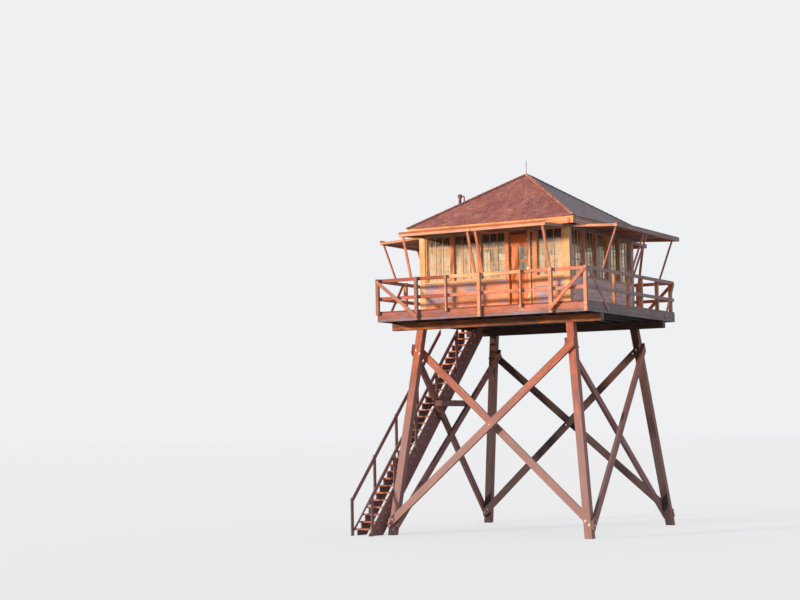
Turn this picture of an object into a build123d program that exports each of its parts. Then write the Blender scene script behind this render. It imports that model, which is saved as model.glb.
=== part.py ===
from build123d import *
import math
import os

# Fire lookout cab on a battered timber tower, all sizes in millimetres
# The tower axis is the middle of the cab, the front wall faces -Y and the door is in it

# Cab
CAB = 4267
WALL = 100
CORNER_POST = 150
SILL_TOP = 755
WINDOW_HEAD = 1955
WALL_TOP = 2110
BAYS = 5
MULLION = 80
SILL_BOARD = 40
FRAME_DEPTH = 70
SASH_WIDTH = 32
SASH_DEPTH = 40
GLASS = 4
FLOOR = 38
DOOR_BAY = 3
DOOR_GAP = 3
DOOR_THICK = 45
HINGE_MARGIN = 200
HINGE_HEIGHT = 90
HINGE_DEPTH = 38
DOOR_STILE = 110

# Deck, joists and beams
DECK_TOP = 5800
CATWALK = 851.5
DECKING = 38
JOIST_DEPTH = 235
JOIST_WIDTH = 50
JOIST_SPACING = 406
RIM_WIDTH = 38
CAP_SIZE = 197
LEG = 203
BATTER = 0.118

# Braces between the legs
BRACE_WIDTH = 190
BRACE_THICK = 75
BRACE_TOP_DROP = 580
BRACE_FOOT_RISE = 370

# Railing round the catwalk
RAIL_TOP = 846
RAIL_POST = 89
RAIL_HEIGHT = 89
RAIL_THICK = 38
MID_RAIL_TOP = 375
SHORT_POST_WIDTH = 45
SHORT_POST_DROP = 95
DIAGONAL_WIDTH = 89
DIAGONAL_THICK = 25
POST_CLEAR = 100

# Places along a side, as shares of half the platform, from its middle to the right
TALL_POSTS = (-0.6, 0.01, 0.672)
SHORT_POSTS = (-0.307, 0.398)
RIGHT_POSTS = (-0.385, -0.06, 0.241, 0.628)
BACK_POSTS = (-0.656, -0.328, 0, 0.328, 0.656)
LEFT_POST = 0.536
DIAGONALS = {
    "front": ((-0.976, -0.6), (0.976, 0.672)),
    "right": ((-0.976, -0.605), (0.976, 0.75)),
    "back": ((-0.976, -0.656), (0.976, 0.656)),
    "left": ((-0.976, -0.656), (0.536, 0.804)),
}

# Stair through the hatch in the left catwalk
STAIR_SKEW = 9
STAIR_SLOPE = 49
STAIR_STEPS = 32
STAIR_WIDTH = 600
STAIR_FROM_WALL = 466.5
STAIR_FROM_CORNER = 433.5
CARRIAGE_THICK = 45
CARRIAGE_DEPTH = 240
TREAD_THICK = 38
TREAD_DEPTH = 235
HANDRAIL_HEIGHT = 930
HANDRAIL_SIZE = 89
HANDRAIL_THICK = 38
LEFT_POST_STEPS = (14, 20, 26, 32)
RIGHT_POST_STEPS = (8, 14, 20, 26, 32)
HANDRAIL_CLEAR = 30
LOW_RAIL_HEIGHT = 58
LOW_RAIL_SIZE = 38
SIDE_BOARD_HEIGHT = 60
SIDE_BOARD_SIZE = 140
BEARER_TOP = 3500
BEARER_HEIGHT = 150
BEARER_WIDTH = 89
BEARER_REACH = 150
GIRT_LENGTH = 1800
HATCH_LENGTH = 1950
HATCH_MARGIN = 60

# Shutters propped up over the windows
SHUTTER_INSET = 63.5
SHUTTER_GAP = 20
SHUTTER_DEPTH = 1275
SHUTTER_EDGE = 65
SHUTTER_SHEET = 16
SHUTTER_RIM = 89
SHUTTER_HINGE_Z = 2005
SHUTTER_CLEAR = 0.3
SHUTTER_TILT = 3.3
LONG_SHUTTER_EXTRA = 300
PROP_THICK = 38
PROP_WIDTH = 64
PROP_INSET = 100
PROP_OVERHANG = 40

# Roof
EAVE = 255
ROOF_RISE = 1530
ROOF_EDGE = 30
ROOF_SEAT = 80
CEILING = 20
FASCIA_THICK = 25
FASCIA_BOTTOM = 2005
EAVE_BOTTOM = 2162
PIPE_DIAMETER = 80
PIPE_WALL = 3
PIPE_FROM_WALL = 383.5
PIPE_Y = -550
PIPE_TOP = 3175
PIPE_CLEAR = 15
FLASHING_WIDTH = 90
FLASHING_TAPER = 25
FLASHING_CLEAR = 0.3
CAP_DIAMETER = 125
CAP_HEIGHT = 80
CAP_PEAK = 15
CAP_TAPER = 70
STAY_DIAMETER = 38
STAY_REACH = 130
STAY_BEND = 45
ROD_DIAMETER = 16
ROD_HEIGHT = 375
ROD_BASE = 40

# Sizes worked out from the ones above
half_cab = CAB / 2
platform = CAB + 2 * CATWALK
half_deck = platform / 2
joist_top = DECK_TOP - DECKING
joist_bottom = joist_top - JOIST_DEPTH
leg_top = joist_bottom - CAP_SIZE
window_run = CAB - 2 * CORNER_POST
bay = window_run / BAYS
roof_half = half_cab + EAVE
roof_slope = ROOF_RISE / roof_half
eave_top = DECK_TOP + EAVE_BOTTOM + ROOF_EDGE
apex = eave_top + ROOF_RISE
pipe_x = PIPE_FROM_WALL - half_cab
rim_inner = half_deck - RIM_WIDTH
batter_slant = math.sqrt(1 + BATTER**2)
shutter_tilt = math.radians(SHUTTER_TILT)
shutter_length = half_cab - SHUTTER_INSET - SHUTTER_GAP / 2
shutter_hinge_out = half_cab + SHUTTER_EDGE * math.sin(shutter_tilt) + SHUTTER_CLEAR

# The flight runs down from the hatch, skewed away from the leg beside it
rise = DECK_TOP / STAIR_STEPS
going = rise / math.tan(math.radians(STAIR_SLOPE))
stair_slope = rise / going
stair_slant = 1 / math.cos(math.radians(STAIR_SLOPE))
top_under = DECK_TOP - TREAD_THICK - rise - CARRIAGE_DEPTH * stair_slant
stair_top = Vector(-half_cab - STAIR_FROM_WALL, half_cab - STAIR_FROM_CORNER, 0)
down_flight = Vector(0, -1, 0).rotate(Axis.Z, -STAIR_SKEW)
across = Vector(0, 0, 1).cross(down_flight)

# Sides, each turned about the tower axis from the front
SIDES = {"front": 0, "right": 90, "back": 180, "left": 270}

pieces = []


def keep(builder, label):
    """Name a finished piece and put it on the list that is written out."""
    builder.part.label = label
    pieces.append(builder.part)


def outward(turn):
    """Direction that a side faces."""
    return Vector(0, -1, 0).rotate(Axis.Z, turn)


def along(turn):
    """Direction from left to right on a side, seen from outside."""
    return Vector(1, 0, 0).rotate(Axis.Z, turn)


def elevation(turn, distance):
    """Upright plane of a side: x to the right, y up, z outward."""
    return Plane(origin=outward(turn) * distance, x_dir=along(turn), z_dir=outward(turn))


def section(turn, offset):
    """Upright plane across a side: x outward, y up, z to the left."""
    return Plane(origin=along(turn) * offset, x_dir=outward(turn), z_dir=along(turn) * -1)


def leg_reach(depth):
    """Distance from the tower axis to a leg's centre line, at a depth below its top."""
    return half_cab + BATTER * depth


def make_leg(name, x_sign, y_sign):
    """Squared timber leg that leans outward both ways and stands on the ground."""
    foot = leg_reach(leg_top)
    lean = Vector(-x_sign * BATTER, -y_sign * BATTER, 1)
    with BuildPart() as leg:
        with BuildSketch(Plane.XY):
            with Locations((x_sign * foot, y_sign * foot)):
                Rectangle(LEG, LEG)
        extrude(amount=leg_top * lean.length, dir=lean.normalized())
    keep(leg, name)


def brace_plane(turn, inset):
    """Plane of the legs' faces on one side: x to the right, y up the batter, z outward."""
    face = half_cab + LEG / 2 - inset
    slope = Vector(0, 0, 1) - outward(turn) * BATTER
    normal = along(turn).cross(slope.normalized())
    return Plane(origin=outward(turn) * face + Vector(0, 0, leg_top), x_dir=along(turn), z_dir=normal)


def make_braces(side, turn):
    """Two flat timbers that cross between two legs, one outside them and one inside."""
    length = leg_top * batter_slant
    top_half = half_cab + LEG / 2
    foot_half = leg_reach(leg_top) + LEG / 2
    corners = [(-top_half, 0), (top_half, 0), (foot_half, -length), (-foot_half, -length)]
    high = -BRACE_TOP_DROP * batter_slant
    low = -(leg_top - BRACE_FOOT_RISE) * batter_slant
    reach_high = leg_reach(BRACE_TOP_DROP)
    reach_low = leg_reach(leg_top - BRACE_FOOT_RISE)
    for place, hand, inset, away in (("outer", 1, 0, BRACE_THICK), ("inner", -1, LEG, -BRACE_THICK)):
        start = Vector(hand * reach_high, high)
        end = Vector(-hand * reach_low, low)
        middle = (start + end) / 2
        angle = math.degrees(math.atan2(end.Y - start.Y, end.X - start.X))
        with BuildPart() as brace:
            with BuildSketch(brace_plane(turn, inset)):
                with BuildLine():
                    Polyline(*corners, close=True)
                make_face()
                with Locations(Location((middle.X, middle.Y), angle)):
                    Rectangle((end - start).length + 2 * BRACE_WIDTH, BRACE_WIDTH, mode=Mode.INTERSECT)
            extrude(amount=away)
        keep(brace, f"brace_{side}_{place}")


def make_cap_beams():
    """Two squared beams along X on the leg tops."""
    for name, y_sign in (("front", -1), ("back", 1)):
        with BuildPart() as beam:
            with BuildSketch(Plane.XY.offset(leg_top)):
                with Locations((0, y_sign * half_cab)):
                    Rectangle(platform, CAP_SIZE)
            extrude(amount=CAP_SIZE)
        keep(beam, f"cap_beam_{name}")


def hatch_edges():
    """Front, back and left-to-right limits of the stair hatch."""
    back = stair_top.Y
    front = back - HATCH_LENGTH
    return front, back, -rim_inner, -(half_cab + HATCH_MARGIN)


def make_joists():
    """Joists along Y on the cap beams, with trimmers and headers round the hatch."""
    front, back, left, right = hatch_edges()
    inner_length = 2 * rim_inner
    count = int(half_cab / JOIST_SPACING)
    with BuildPart() as joists:
        with BuildSketch(Plane.XY.offset(joist_bottom)):
            with GridLocations(JOIST_SPACING, inner_length, 2 * count + 1, 1):
                Rectangle(JOIST_WIDTH, inner_length)
            with Locations((right + JOIST_WIDTH / 2, 0), (-right - JOIST_WIDTH / 2, 0)):
                Rectangle(JOIST_WIDTH, inner_length)
            with Locations((half_deck - RIM_WIDTH - JOIST_SPACING, 0)):
                Rectangle(JOIST_WIDTH, inner_length)
            middle = (left + right) / 2
            with Locations((middle, front - JOIST_WIDTH / 2), (middle, back + JOIST_WIDTH / 2)):
                Rectangle(right - left, JOIST_WIDTH)
        extrude(amount=JOIST_DEPTH)
    keep(joists, "joists")


def make_rim():
    """Rim boards that close the joist ends and the platform sides."""
    for side, turn in SIDES.items():
        run = platform if side in ("front", "back") else 2 * rim_inner
        with BuildPart() as board:
            with BuildSketch(elevation(turn, half_deck)):
                with Locations((0, joist_bottom + JOIST_DEPTH / 2)):
                    Rectangle(run, JOIST_DEPTH)
            extrude(amount=-RIM_WIDTH)
        keep(board, f"rim_board_{side}")


def make_deck():
    """Catwalk decking round the cab, with the hatch cut through its left strip."""
    front, back, left, right = hatch_edges()
    strip = half_deck - half_cab
    for side, turn in SIDES.items():
        run = platform if side in ("front", "back") else CAB
        with BuildPart() as deck:
            with BuildSketch(Plane.XY.offset(joist_top)):
                with Locations(Location(outward(turn) * (half_cab + strip / 2), turn)):
                    Rectangle(run, strip)
                if side == "left":
                    with Locations(((left + right) / 2, (front + back) / 2)):
                        Rectangle(right - left, back - front, mode=Mode.SUBTRACT)
            extrude(amount=DECKING)
        keep(deck, f"catwalk_{side}")
    with BuildPart() as floor:
        with BuildSketch(Plane.XY.offset(joist_top)):
            Rectangle(CAB, CAB)
        extrude(amount=FLOOR)
    keep(floor, "cab_floor")


def inner_posts(side):
    """Places of the posts that stand on the decking, inside a side's rails."""
    front, back, _, _ = hatch_edges()
    corner = rim_inner - RAIL_POST / 2
    if side == "right":
        return [share * half_deck for share in RIGHT_POSTS] + [corner]
    if side == "back":
        return [share * half_deck for share in BACK_POSTS]
    return [-corner, -back - POST_CLEAR, POST_CLEAR - front, LEFT_POST * half_deck]


def make_railing(side, turn):
    """Two rails on the platform's edge, their posts, and a diagonal board near each end."""
    corner = half_deck - RAIL_POST / 2
    rail_run = platform if side in ("front", "back") else 2 * rim_inner
    head = DECK_TOP + RAIL_TOP
    short_foot = DECK_TOP - SHORT_POST_DROP
    tall = [share * half_deck for share in TALL_POSTS] + [corner]
    short = [share * half_deck for share in SHORT_POSTS]
    with BuildPart() as railing:
        with BuildSketch(elevation(turn, half_deck)):
            for top in (RAIL_TOP, MID_RAIL_TOP):
                with Locations((0, DECK_TOP + top - RAIL_HEIGHT / 2)):
                    Rectangle(rail_run, RAIL_HEIGHT)
        extrude(amount=-RAIL_THICK)
        if side == "front":
            with BuildSketch(elevation(turn, half_deck)):
                with Locations(*[(place, (joist_bottom + head) / 2) for place in tall]):
                    Rectangle(RAIL_POST, head - joist_bottom)
                with Locations(*[(place, (short_foot + head) / 2) for place in short]):
                    Rectangle(SHORT_POST_WIDTH, head - short_foot)
                with Locations((-corner, (short_foot + head) / 2)):
                    Rectangle(RAIL_POST, head - short_foot)
            extrude(amount=RAIL_POST)
        else:
            with BuildSketch(elevation(turn, half_deck - RAIL_THICK)):
                with Locations(*[(place, (DECK_TOP + head) / 2) for place in inner_posts(side)]):
                    Rectangle(RAIL_POST, head - DECK_TOP)
            extrude(amount=-RAIL_POST)
        face = half_deck + (RAIL_POST if side == "front" else 0)
        with BuildSketch(elevation(turn, face)):
            for upper, lower in DIAGONALS[side]:
                high = Vector(upper * half_deck, head - DIAGONAL_WIDTH)
                low = Vector(lower * half_deck, joist_bottom + JOIST_DEPTH / 2)
                middle = (high + low) / 2
                angle = math.degrees(math.atan2(low.Y - high.Y, low.X - high.X))
                with Locations(Location((middle.X, middle.Y), angle)):
                    Rectangle((high - low).length + DIAGONAL_WIDTH, DIAGONAL_WIDTH)
        extrude(amount=DIAGONAL_THICK)
    keep(railing, f"railing_{side}")


def under_joists(height):
    """Distance down the flight where a rail that much above the nosings is clear of the joists."""
    return TREAD_DEPTH + (DECK_TOP - rise + height + HANDRAIL_CLEAR - joist_bottom) / stair_slope


def flight_plane(offset):
    """Upright plane along the flight: x down the flight, y up, z to its right going up."""
    normal = down_flight.cross(Vector(0, 0, 1))
    return Plane(origin=stair_top - across * offset, x_dir=down_flight, z_dir=normal)


def carriage_outline():
    """Sawtooth plank: seats for every tread, cut flat on the ground and upright at the hatch."""
    points = []
    for step in range(1, STAIR_STEPS):
        seat = DECK_TOP - step * rise - TREAD_THICK
        points.append((step * going, seat))
        points.append((step * going, max(seat - rise, 0)))
    points.append((top_under / stair_slope, 0))
    head = STAIR_WIDTH / 2 * math.sin(math.radians(STAIR_SKEW)) + going / 4
    points.append((-head, top_under + head * stair_slope))
    points.append((-head, DECK_TOP - rise - TREAD_THICK))
    return points


def nosing_height(distance):
    """Height of the line through the treads' front edges, at a distance down the flight."""
    return DECK_TOP - rise - (distance - TREAD_DEPTH) * stair_slope


def bar_outline(top_offset, depth, start, end):
    """Corners of a sloped bar, its upper edge a given height above the nosings."""
    return [
        (start, nosing_height(start) + top_offset),
        (end, nosing_height(end) + top_offset),
        (end, nosing_height(end) + top_offset - depth),
        (start, nosing_height(start) + top_offset - depth),
    ]


def make_stair():
    """Two sawtooth carriages and the open treads on them."""
    side = STAIR_WIDTH / 2 - CARRIAGE_THICK / 2
    with BuildPart() as carriages:
        for offset in (-side, side):
            with BuildSketch(flight_plane(offset)):
                with BuildLine():
                    Polyline(*carriage_outline(), close=True)
                make_face()
            extrude(amount=CARRIAGE_THICK / 2, both=True)
        split(bisect_by=Plane.XZ.offset(-stair_top.Y), keep=Keep.TOP)
    keep(carriages, "stair_carriages")
    with BuildPart() as treads:
        with BuildSketch(flight_plane(0)):
            for step in range(1, STAIR_STEPS):
                top = DECK_TOP - step * rise
                with Locations((step * going - going + TREAD_DEPTH / 2, top - TREAD_THICK / 2)):
                    Rectangle(TREAD_DEPTH, TREAD_THICK)
        extrude(amount=STAIR_WIDTH / 2, both=True)
        split(bisect_by=Plane.XZ.offset(-stair_top.Y), keep=Keep.TOP)
    keep(treads, "stair_treads")


def make_stair_rails():
    """A handrail and a low rail on each side of the flight, on posts; the right one hangs outside it."""
    end = max(RIGHT_POST_STEPS) * going + HANDRAIL_SIZE
    half = HANDRAIL_THICK / 2
    edge = STAIR_WIDTH / 2
    with BuildPart() as rails:
        for sign, steps, rail_at, low_top, low_size in (
            (1, LEFT_POST_STEPS, edge - half, LOW_RAIL_HEIGHT, LOW_RAIL_SIZE),
            (-1, RIGHT_POST_STEPS, edge + half, SIDE_BOARD_HEIGHT, SIDE_BOARD_SIZE),
        ):
            with BuildSketch(flight_plane(sign * (rail_at + HANDRAIL_THICK))):
                for step in steps:
                    nosing = nosing_height(step * going)
                    foot = max(nosing + low_top - SIDE_BOARD_SIZE * stair_slant, 0)
                    head = nosing + HANDRAIL_HEIGHT - HANDRAIL_SIZE / 2
                    with Locations((step * going, (foot + head) / 2)):
                        Rectangle(HANDRAIL_SIZE, head - foot)
            extrude(amount=half, both=True)
            for top, size in ((HANDRAIL_HEIGHT, HANDRAIL_SIZE), (low_top, low_size)):
                with BuildSketch(flight_plane(sign * rail_at)):
                    with BuildLine():
                        Polyline(*bar_outline(top, size * stair_slant, under_joists(top), end), close=True)
                    make_face()
                extrude(amount=half, both=True)
        split(bisect_by=Plane.XY, keep=Keep.TOP)
    keep(rails, "stair_rails")


def make_stair_bearer():
    """Girt between the crossing braces of the left side, and an arm that carries the flight."""
    depth = leg_top - BEARER_TOP + BEARER_HEIGHT / 2
    near = (top_under - BEARER_TOP) / stair_slope
    arm = [
        (near, BEARER_TOP),
        (near + BEARER_WIDTH, BEARER_TOP - BEARER_WIDTH * stair_slope),
        (near + BEARER_WIDTH, BEARER_TOP - BEARER_HEIGHT),
        (near, BEARER_TOP - BEARER_HEIGHT),
    ]
    with BuildPart() as bearer:
        with BuildSketch(brace_plane(SIDES["left"], 0)):
            with Locations((0, -depth * batter_slant)):
                Rectangle(GIRT_LENGTH, BEARER_HEIGHT)
        extrude(amount=-LEG / batter_slant)
        with BuildSketch(flight_plane(-BEARER_REACH / 2)):
            with BuildLine():
                Polyline(*arm, close=True)
            make_face()
        extrude(amount=(STAIR_WIDTH + BEARER_REACH) / 2, both=True)
    keep(bearer, "stair_bearer")


def make_corner_posts():
    """Four corner posts of the cab, L-shaped in plan."""
    with BuildPart() as posts:
        with BuildSketch(Plane.XY.offset(DECK_TOP)):
            Rectangle(CAB, CAB)
            Rectangle(CAB - 2 * WALL, CAB - 2 * WALL, mode=Mode.SUBTRACT)
            Rectangle(CAB, window_run, mode=Mode.SUBTRACT)
            Rectangle(window_run, CAB, mode=Mode.SUBTRACT)
        extrude(amount=WALL_TOP)
    keep(posts, "corner_posts")


def bay_middle(number):
    """Place of a bay's middle along a wall, the bays counted from the left."""
    return number * bay - (window_run - bay) / 2


def window_places(side):
    """Middles of a wall's window bays, without the door's."""
    numbers = [number for number in range(BAYS) if side != "front" or number != DOOR_BAY]
    return [bay_middle(number) for number in numbers]


def make_lower_wall(side, turn):
    """Boarded wall below the windows, cut through for the door on the front."""
    with BuildPart() as wall:
        with BuildSketch(elevation(turn, half_cab)):
            with Locations((0, DECK_TOP + (SILL_TOP - SILL_BOARD) / 2)):
                Rectangle(window_run, SILL_TOP - SILL_BOARD)
            if side == "front":
                with Locations((bay_middle(DOOR_BAY), DECK_TOP + SILL_TOP / 2)):
                    Rectangle(bay + MULLION, SILL_TOP, mode=Mode.SUBTRACT)
        extrude(amount=-WALL)
    keep(wall, f"lower_wall_{side}")


def make_window_frame(side, turn):
    """Sill, mullions and header of one wall, with a fixed sash frame in every bay."""
    height = WINDOW_HEAD - SILL_TOP
    centre = DECK_TOP + SILL_TOP + height / 2
    windows = window_places(side)
    with BuildPart() as frame:
        with BuildSketch(elevation(turn, half_cab)):
            with Locations((0, DECK_TOP + (SILL_TOP - SILL_BOARD + WALL_TOP) / 2)):
                Rectangle(window_run, WALL_TOP - SILL_TOP + SILL_BOARD)
            with Locations(*[(x, centre) for x in windows]):
                Rectangle(bay - MULLION, height, mode=Mode.SUBTRACT)
            if side == "front":
                sill = SILL_TOP - SILL_BOARD
                with Locations((bay_middle(DOOR_BAY), DECK_TOP + (sill + WINDOW_HEAD) / 2)):
                    Rectangle(bay - MULLION, WINDOW_HEAD - sill, mode=Mode.SUBTRACT)
        extrude(amount=-WALL)
        with BuildSketch(elevation(turn, half_cab - FRAME_DEPTH)):
            with Locations(*[(x, centre) for x in windows]):
                Rectangle(bay - MULLION, height)
            with Locations(*[(x, centre) for x in windows]):
                Rectangle(bay - MULLION - 2 * SASH_WIDTH, height - 2 * SASH_WIDTH, mode=Mode.SUBTRACT)
        extrude(amount=SASH_DEPTH)
        if side == "front":
            with BuildSketch(elevation(turn, half_cab)):
                with Locations((bay_middle(DOOR_BAY), DECK_TOP + (SILL_TOP - SILL_BOARD) / 2)):
                    Rectangle(bay + MULLION, SILL_TOP - SILL_BOARD)
                    Rectangle(bay - MULLION, SILL_TOP - SILL_BOARD, mode=Mode.SUBTRACT)
            extrude(amount=-WALL)
    keep(frame, f"window_frame_{side}")


def make_glass():
    """One pane in every sash of the four walls."""
    height = WINDOW_HEAD - SILL_TOP
    with BuildPart() as glass:
        for side, turn in SIDES.items():
            with BuildSketch(elevation(turn, half_cab - FRAME_DEPTH + SASH_DEPTH / 2)):
                with Locations(*[(x, DECK_TOP + SILL_TOP + height / 2) for x in window_places(side)]):
                    Rectangle(bay - MULLION - 2 * SASH_WIDTH, height - 2 * SASH_WIDTH)
            extrude(amount=GLASS / 2, both=True)
    keep(glass, "window_glass")


def make_door():
    """Door leaf with a glazed upper part, closed in its bay of the front wall."""
    width = bay - MULLION - 2 * DOOR_GAP
    height = WINDOW_HEAD - 2 * DOOR_GAP
    middle = bay_middle(DOOR_BAY)
    light_bottom = SILL_TOP + DOOR_STILE
    light_top = height - DOOR_STILE
    with BuildPart() as door:
        with BuildSketch(elevation(0, half_cab - FRAME_DEPTH / 2)):
            with Locations((middle, DECK_TOP + DOOR_GAP + height / 2)):
                Rectangle(width, height)
            with Locations((middle, DECK_TOP + (light_bottom + light_top) / 2)):
                Rectangle(width - 2 * DOOR_STILE, light_top - light_bottom, mode=Mode.SUBTRACT)
        extrude(amount=-DOOR_THICK)
        with BuildSketch(elevation(0, half_cab - FRAME_DEPTH / 2)):
            for place in (HINGE_MARGIN, height / 2, height - HINGE_MARGIN):
                with Locations((middle + (width + DOOR_GAP) / 2, DECK_TOP + place)):
                    Rectangle(DOOR_GAP, HINGE_HEIGHT)
        extrude(amount=-HINGE_DEPTH)
    keep(door, "door")
    with BuildPart() as glass:
        with BuildSketch(elevation(0, half_cab - FRAME_DEPTH / 2 - DOOR_THICK / 2)):
            with Locations((middle, DECK_TOP + (light_bottom + light_top) / 2)):
                Rectangle(width - 2 * DOOR_STILE, light_top - light_bottom)
        extrude(amount=GLASS / 2, both=True)
    keep(glass, "door_glass")


def hip_block(half, bottom, edge):
    """Low hipped block: a square of the given half width, upright edges, then four slopes."""
    peak = edge + half * roof_slope
    outline = [(-half, bottom), (half, bottom), (half, edge), (0, peak), (-half, edge)]
    with BuildPart() as block:
        for number, plane in enumerate((Plane.XZ, Plane.YZ)):
            with BuildSketch(plane):
                with BuildLine():
                    Polyline(*outline, close=True)
                make_face()
            extrude(amount=half, both=True, mode=Mode.ADD if number == 0 else Mode.INTERSECT)
    return block.part


def make_roof():
    """Hipped roof shell, its fascia, the ceiling that reaches out to it, and the lightning rod."""
    bottom = DECK_TOP + EAVE_BOTTOM
    fascia_outer = 2 * (roof_half - FASCIA_THICK)
    fascia_inner = fascia_outer - 2 * FASCIA_THICK
    inner_half = roof_half - ROOF_SEAT
    with BuildPart() as roof:
        add(hip_block(roof_half, bottom, eave_top))
        add(hip_block(inner_half, bottom - ROOF_EDGE, bottom), mode=Mode.SUBTRACT)
        with BuildSketch(Plane.XY.offset(bottom)):
            with Locations((pipe_x, PIPE_Y)):
                Circle(PIPE_DIAMETER / 2 + PIPE_CLEAR)
        extrude(amount=ROOF_RISE, mode=Mode.SUBTRACT)
    keep(roof, "roof")
    with BuildPart() as fascia:
        with BuildSketch(Plane.XY.offset(DECK_TOP + FASCIA_BOTTOM)):
            Rectangle(fascia_outer, fascia_outer)
            Rectangle(fascia_inner, fascia_inner, mode=Mode.SUBTRACT)
        extrude(amount=EAVE_BOTTOM - FASCIA_BOTTOM)
    keep(fascia, "fascia")
    with BuildPart() as ceiling:
        with BuildSketch(Plane.XY.offset(DECK_TOP + WALL_TOP)):
            Rectangle(fascia_inner, fascia_inner)
        extrude(amount=CEILING)
    keep(ceiling, "ceiling")
    with BuildPart() as rod:
        with BuildSketch(Plane.XY.offset(apex - ROD_BASE * roof_slope)):
            Rectangle(2 * ROD_BASE, 2 * ROD_BASE)
        extrude(amount=ROD_BASE * roof_slope + ROD_DIAMETER)
        add(hip_block(roof_half, bottom, eave_top), mode=Mode.SUBTRACT)
        with BuildSketch(Plane.XY.offset(apex)):
            Circle(ROD_DIAMETER / 2)
        extrude(amount=ROD_HEIGHT)
    keep(rod, "lightning_rod")


def make_pipe():
    """Stovepipe from the ceiling through the roof, with a flashing cone and a rain cap."""
    base = DECK_TOP + WALL_TOP + CEILING
    top = DECK_TOP + PIPE_TOP
    stay_x = pipe_x + STAY_REACH
    stay_z = top + CAP_HEIGHT / 2
    roof_at_stay = apex + (stay_x + STAY_DIAMETER / 2) * roof_slope
    with BuildPart() as pipe:
        with BuildSketch(Plane.XY.offset(base)):
            with Locations((pipe_x, PIPE_Y)):
                Circle(PIPE_DIAMETER / 2)
        extrude(amount=top - base)
        with BuildSketch(Plane.XY.offset(top)):
            with Locations((pipe_x, PIPE_Y)):
                Circle(CAP_DIAMETER / 2)
        extrude(amount=CAP_HEIGHT)
        with BuildSketch(Plane.XY.offset(top + CAP_HEIGHT)):
            with Locations((pipe_x, PIPE_Y)):
                Circle(CAP_DIAMETER / 2)
        extrude(amount=CAP_PEAK, taper=CAP_TAPER)
        with BuildLine() as bend:
            FilletPolyline(
                (pipe_x, PIPE_Y, stay_z),
                (stay_x, PIPE_Y, stay_z),
                (stay_x, PIPE_Y, roof_at_stay + PIPE_CLEAR),
                radius=STAY_BEND,
            )
        with BuildSketch(bend.line ^ 0):
            Circle(STAY_DIAMETER / 2)
        sweep(path=bend.line)
        with BuildSketch(Plane.XY.offset(base)):
            with Locations((pipe_x, PIPE_Y)):
                Circle(PIPE_DIAMETER / 2 - PIPE_WALL)
        extrude(amount=top - base, mode=Mode.SUBTRACT)
    keep(pipe, "stovepipe")
    surface = apex - max(abs(pipe_x), abs(PIPE_Y)) * roof_slope
    radius = PIPE_DIAMETER / 2 + FLASHING_WIDTH
    with BuildPart() as flashing:
        with BuildSketch(Plane.XY.offset(surface - radius * roof_slope)):
            with Locations((pipe_x, PIPE_Y)):
                Circle(radius)
        extrude(amount=2 * radius * roof_slope + PIPE_CLEAR, taper=FLASHING_TAPER)
        add(hip_block(roof_half, DECK_TOP + EAVE_BOTTOM, eave_top), mode=Mode.SUBTRACT)
        with BuildSketch(Plane.XY.offset(DECK_TOP + EAVE_BOTTOM)):
            with Locations((pipe_x, PIPE_Y)):
                Circle(PIPE_DIAMETER / 2 + FLASHING_CLEAR)
        extrude(amount=ROOF_RISE, mode=Mode.SUBTRACT)
    keep(flashing, "pipe_flashing")


def make_shutters(side, turn):
    """Two top-hinged shutters of one wall, swung up and out, each a sheet on a rim."""
    hinge = outward(turn) * shutter_hinge_out + Vector(0, 0, DECK_TOP + SHUTTER_HINGE_Z)
    out = outward(turn) * math.cos(shutter_tilt) - Vector(0, 0, math.sin(shutter_tilt))
    normal = outward(turn) * math.sin(shutter_tilt) + Vector(0, 0, math.cos(shutter_tilt))
    with BuildPart() as shutters:
        for hand in (-1, 1):
            extra = LONG_SHUTTER_EXTRA if side == "right" and hand == 1 else 0
            length = shutter_length + extra
            centre = hinge + along(turn) * hand * (length + SHUTTER_GAP) / 2 + out * SHUTTER_DEPTH / 2
            sheet = Plane(origin=centre, x_dir=out, z_dir=normal)
            with BuildSketch(sheet):
                Rectangle(SHUTTER_DEPTH, length)
            extrude(amount=-SHUTTER_EDGE)
            with BuildSketch(sheet.offset(-SHUTTER_SHEET)):
                Rectangle(SHUTTER_DEPTH - 2 * SHUTTER_RIM, length - 2 * SHUTTER_RIM)
            extrude(amount=-SHUTTER_EDGE, mode=Mode.SUBTRACT)
    keep(shutters, f"shutters_{side}")


def shutter_underside(out):
    """Height of a shutter's underside at a distance from the tower axis."""
    under = DECK_TOP + SHUTTER_HINGE_Z - SHUTTER_EDGE / math.cos(shutter_tilt)
    return under - (out - shutter_hinge_out) * math.tan(shutter_tilt)


def make_props():
    """Four struts a side that stand on the top rail and hold the shutters' outer edges."""
    reach = SHUTTER_DEPTH * math.cos(shutter_tilt) - SHUTTER_EDGE * math.sin(shutter_tilt)
    head_out = shutter_hinge_out + reach - PROP_OVERHANG
    foot_out = half_deck - RAIL_THICK
    foot = DECK_TOP + RAIL_TOP
    shutter_centre = (shutter_length + SHUTTER_GAP) / 2
    shutter_end = shutter_length / 2 - PROP_INSET
    places = [hand * shutter_centre + end * shutter_end for hand in (-1, 1) for end in (-1, 1)]
    with BuildPart() as props:
        for turn in SIDES.values():
            for place in places:
                with BuildSketch(section(turn, place)):
                    with BuildLine():
                        Polyline(
                            (foot_out, foot),
                            (foot_out + RAIL_THICK, foot),
                            (head_out, shutter_underside(head_out)),
                            (head_out - PROP_THICK, shutter_underside(head_out - PROP_THICK)),
                            close=True,
                        )
                    make_face()
                extrude(amount=PROP_WIDTH / 2, both=True)
    keep(props, "shutter_props")


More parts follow.
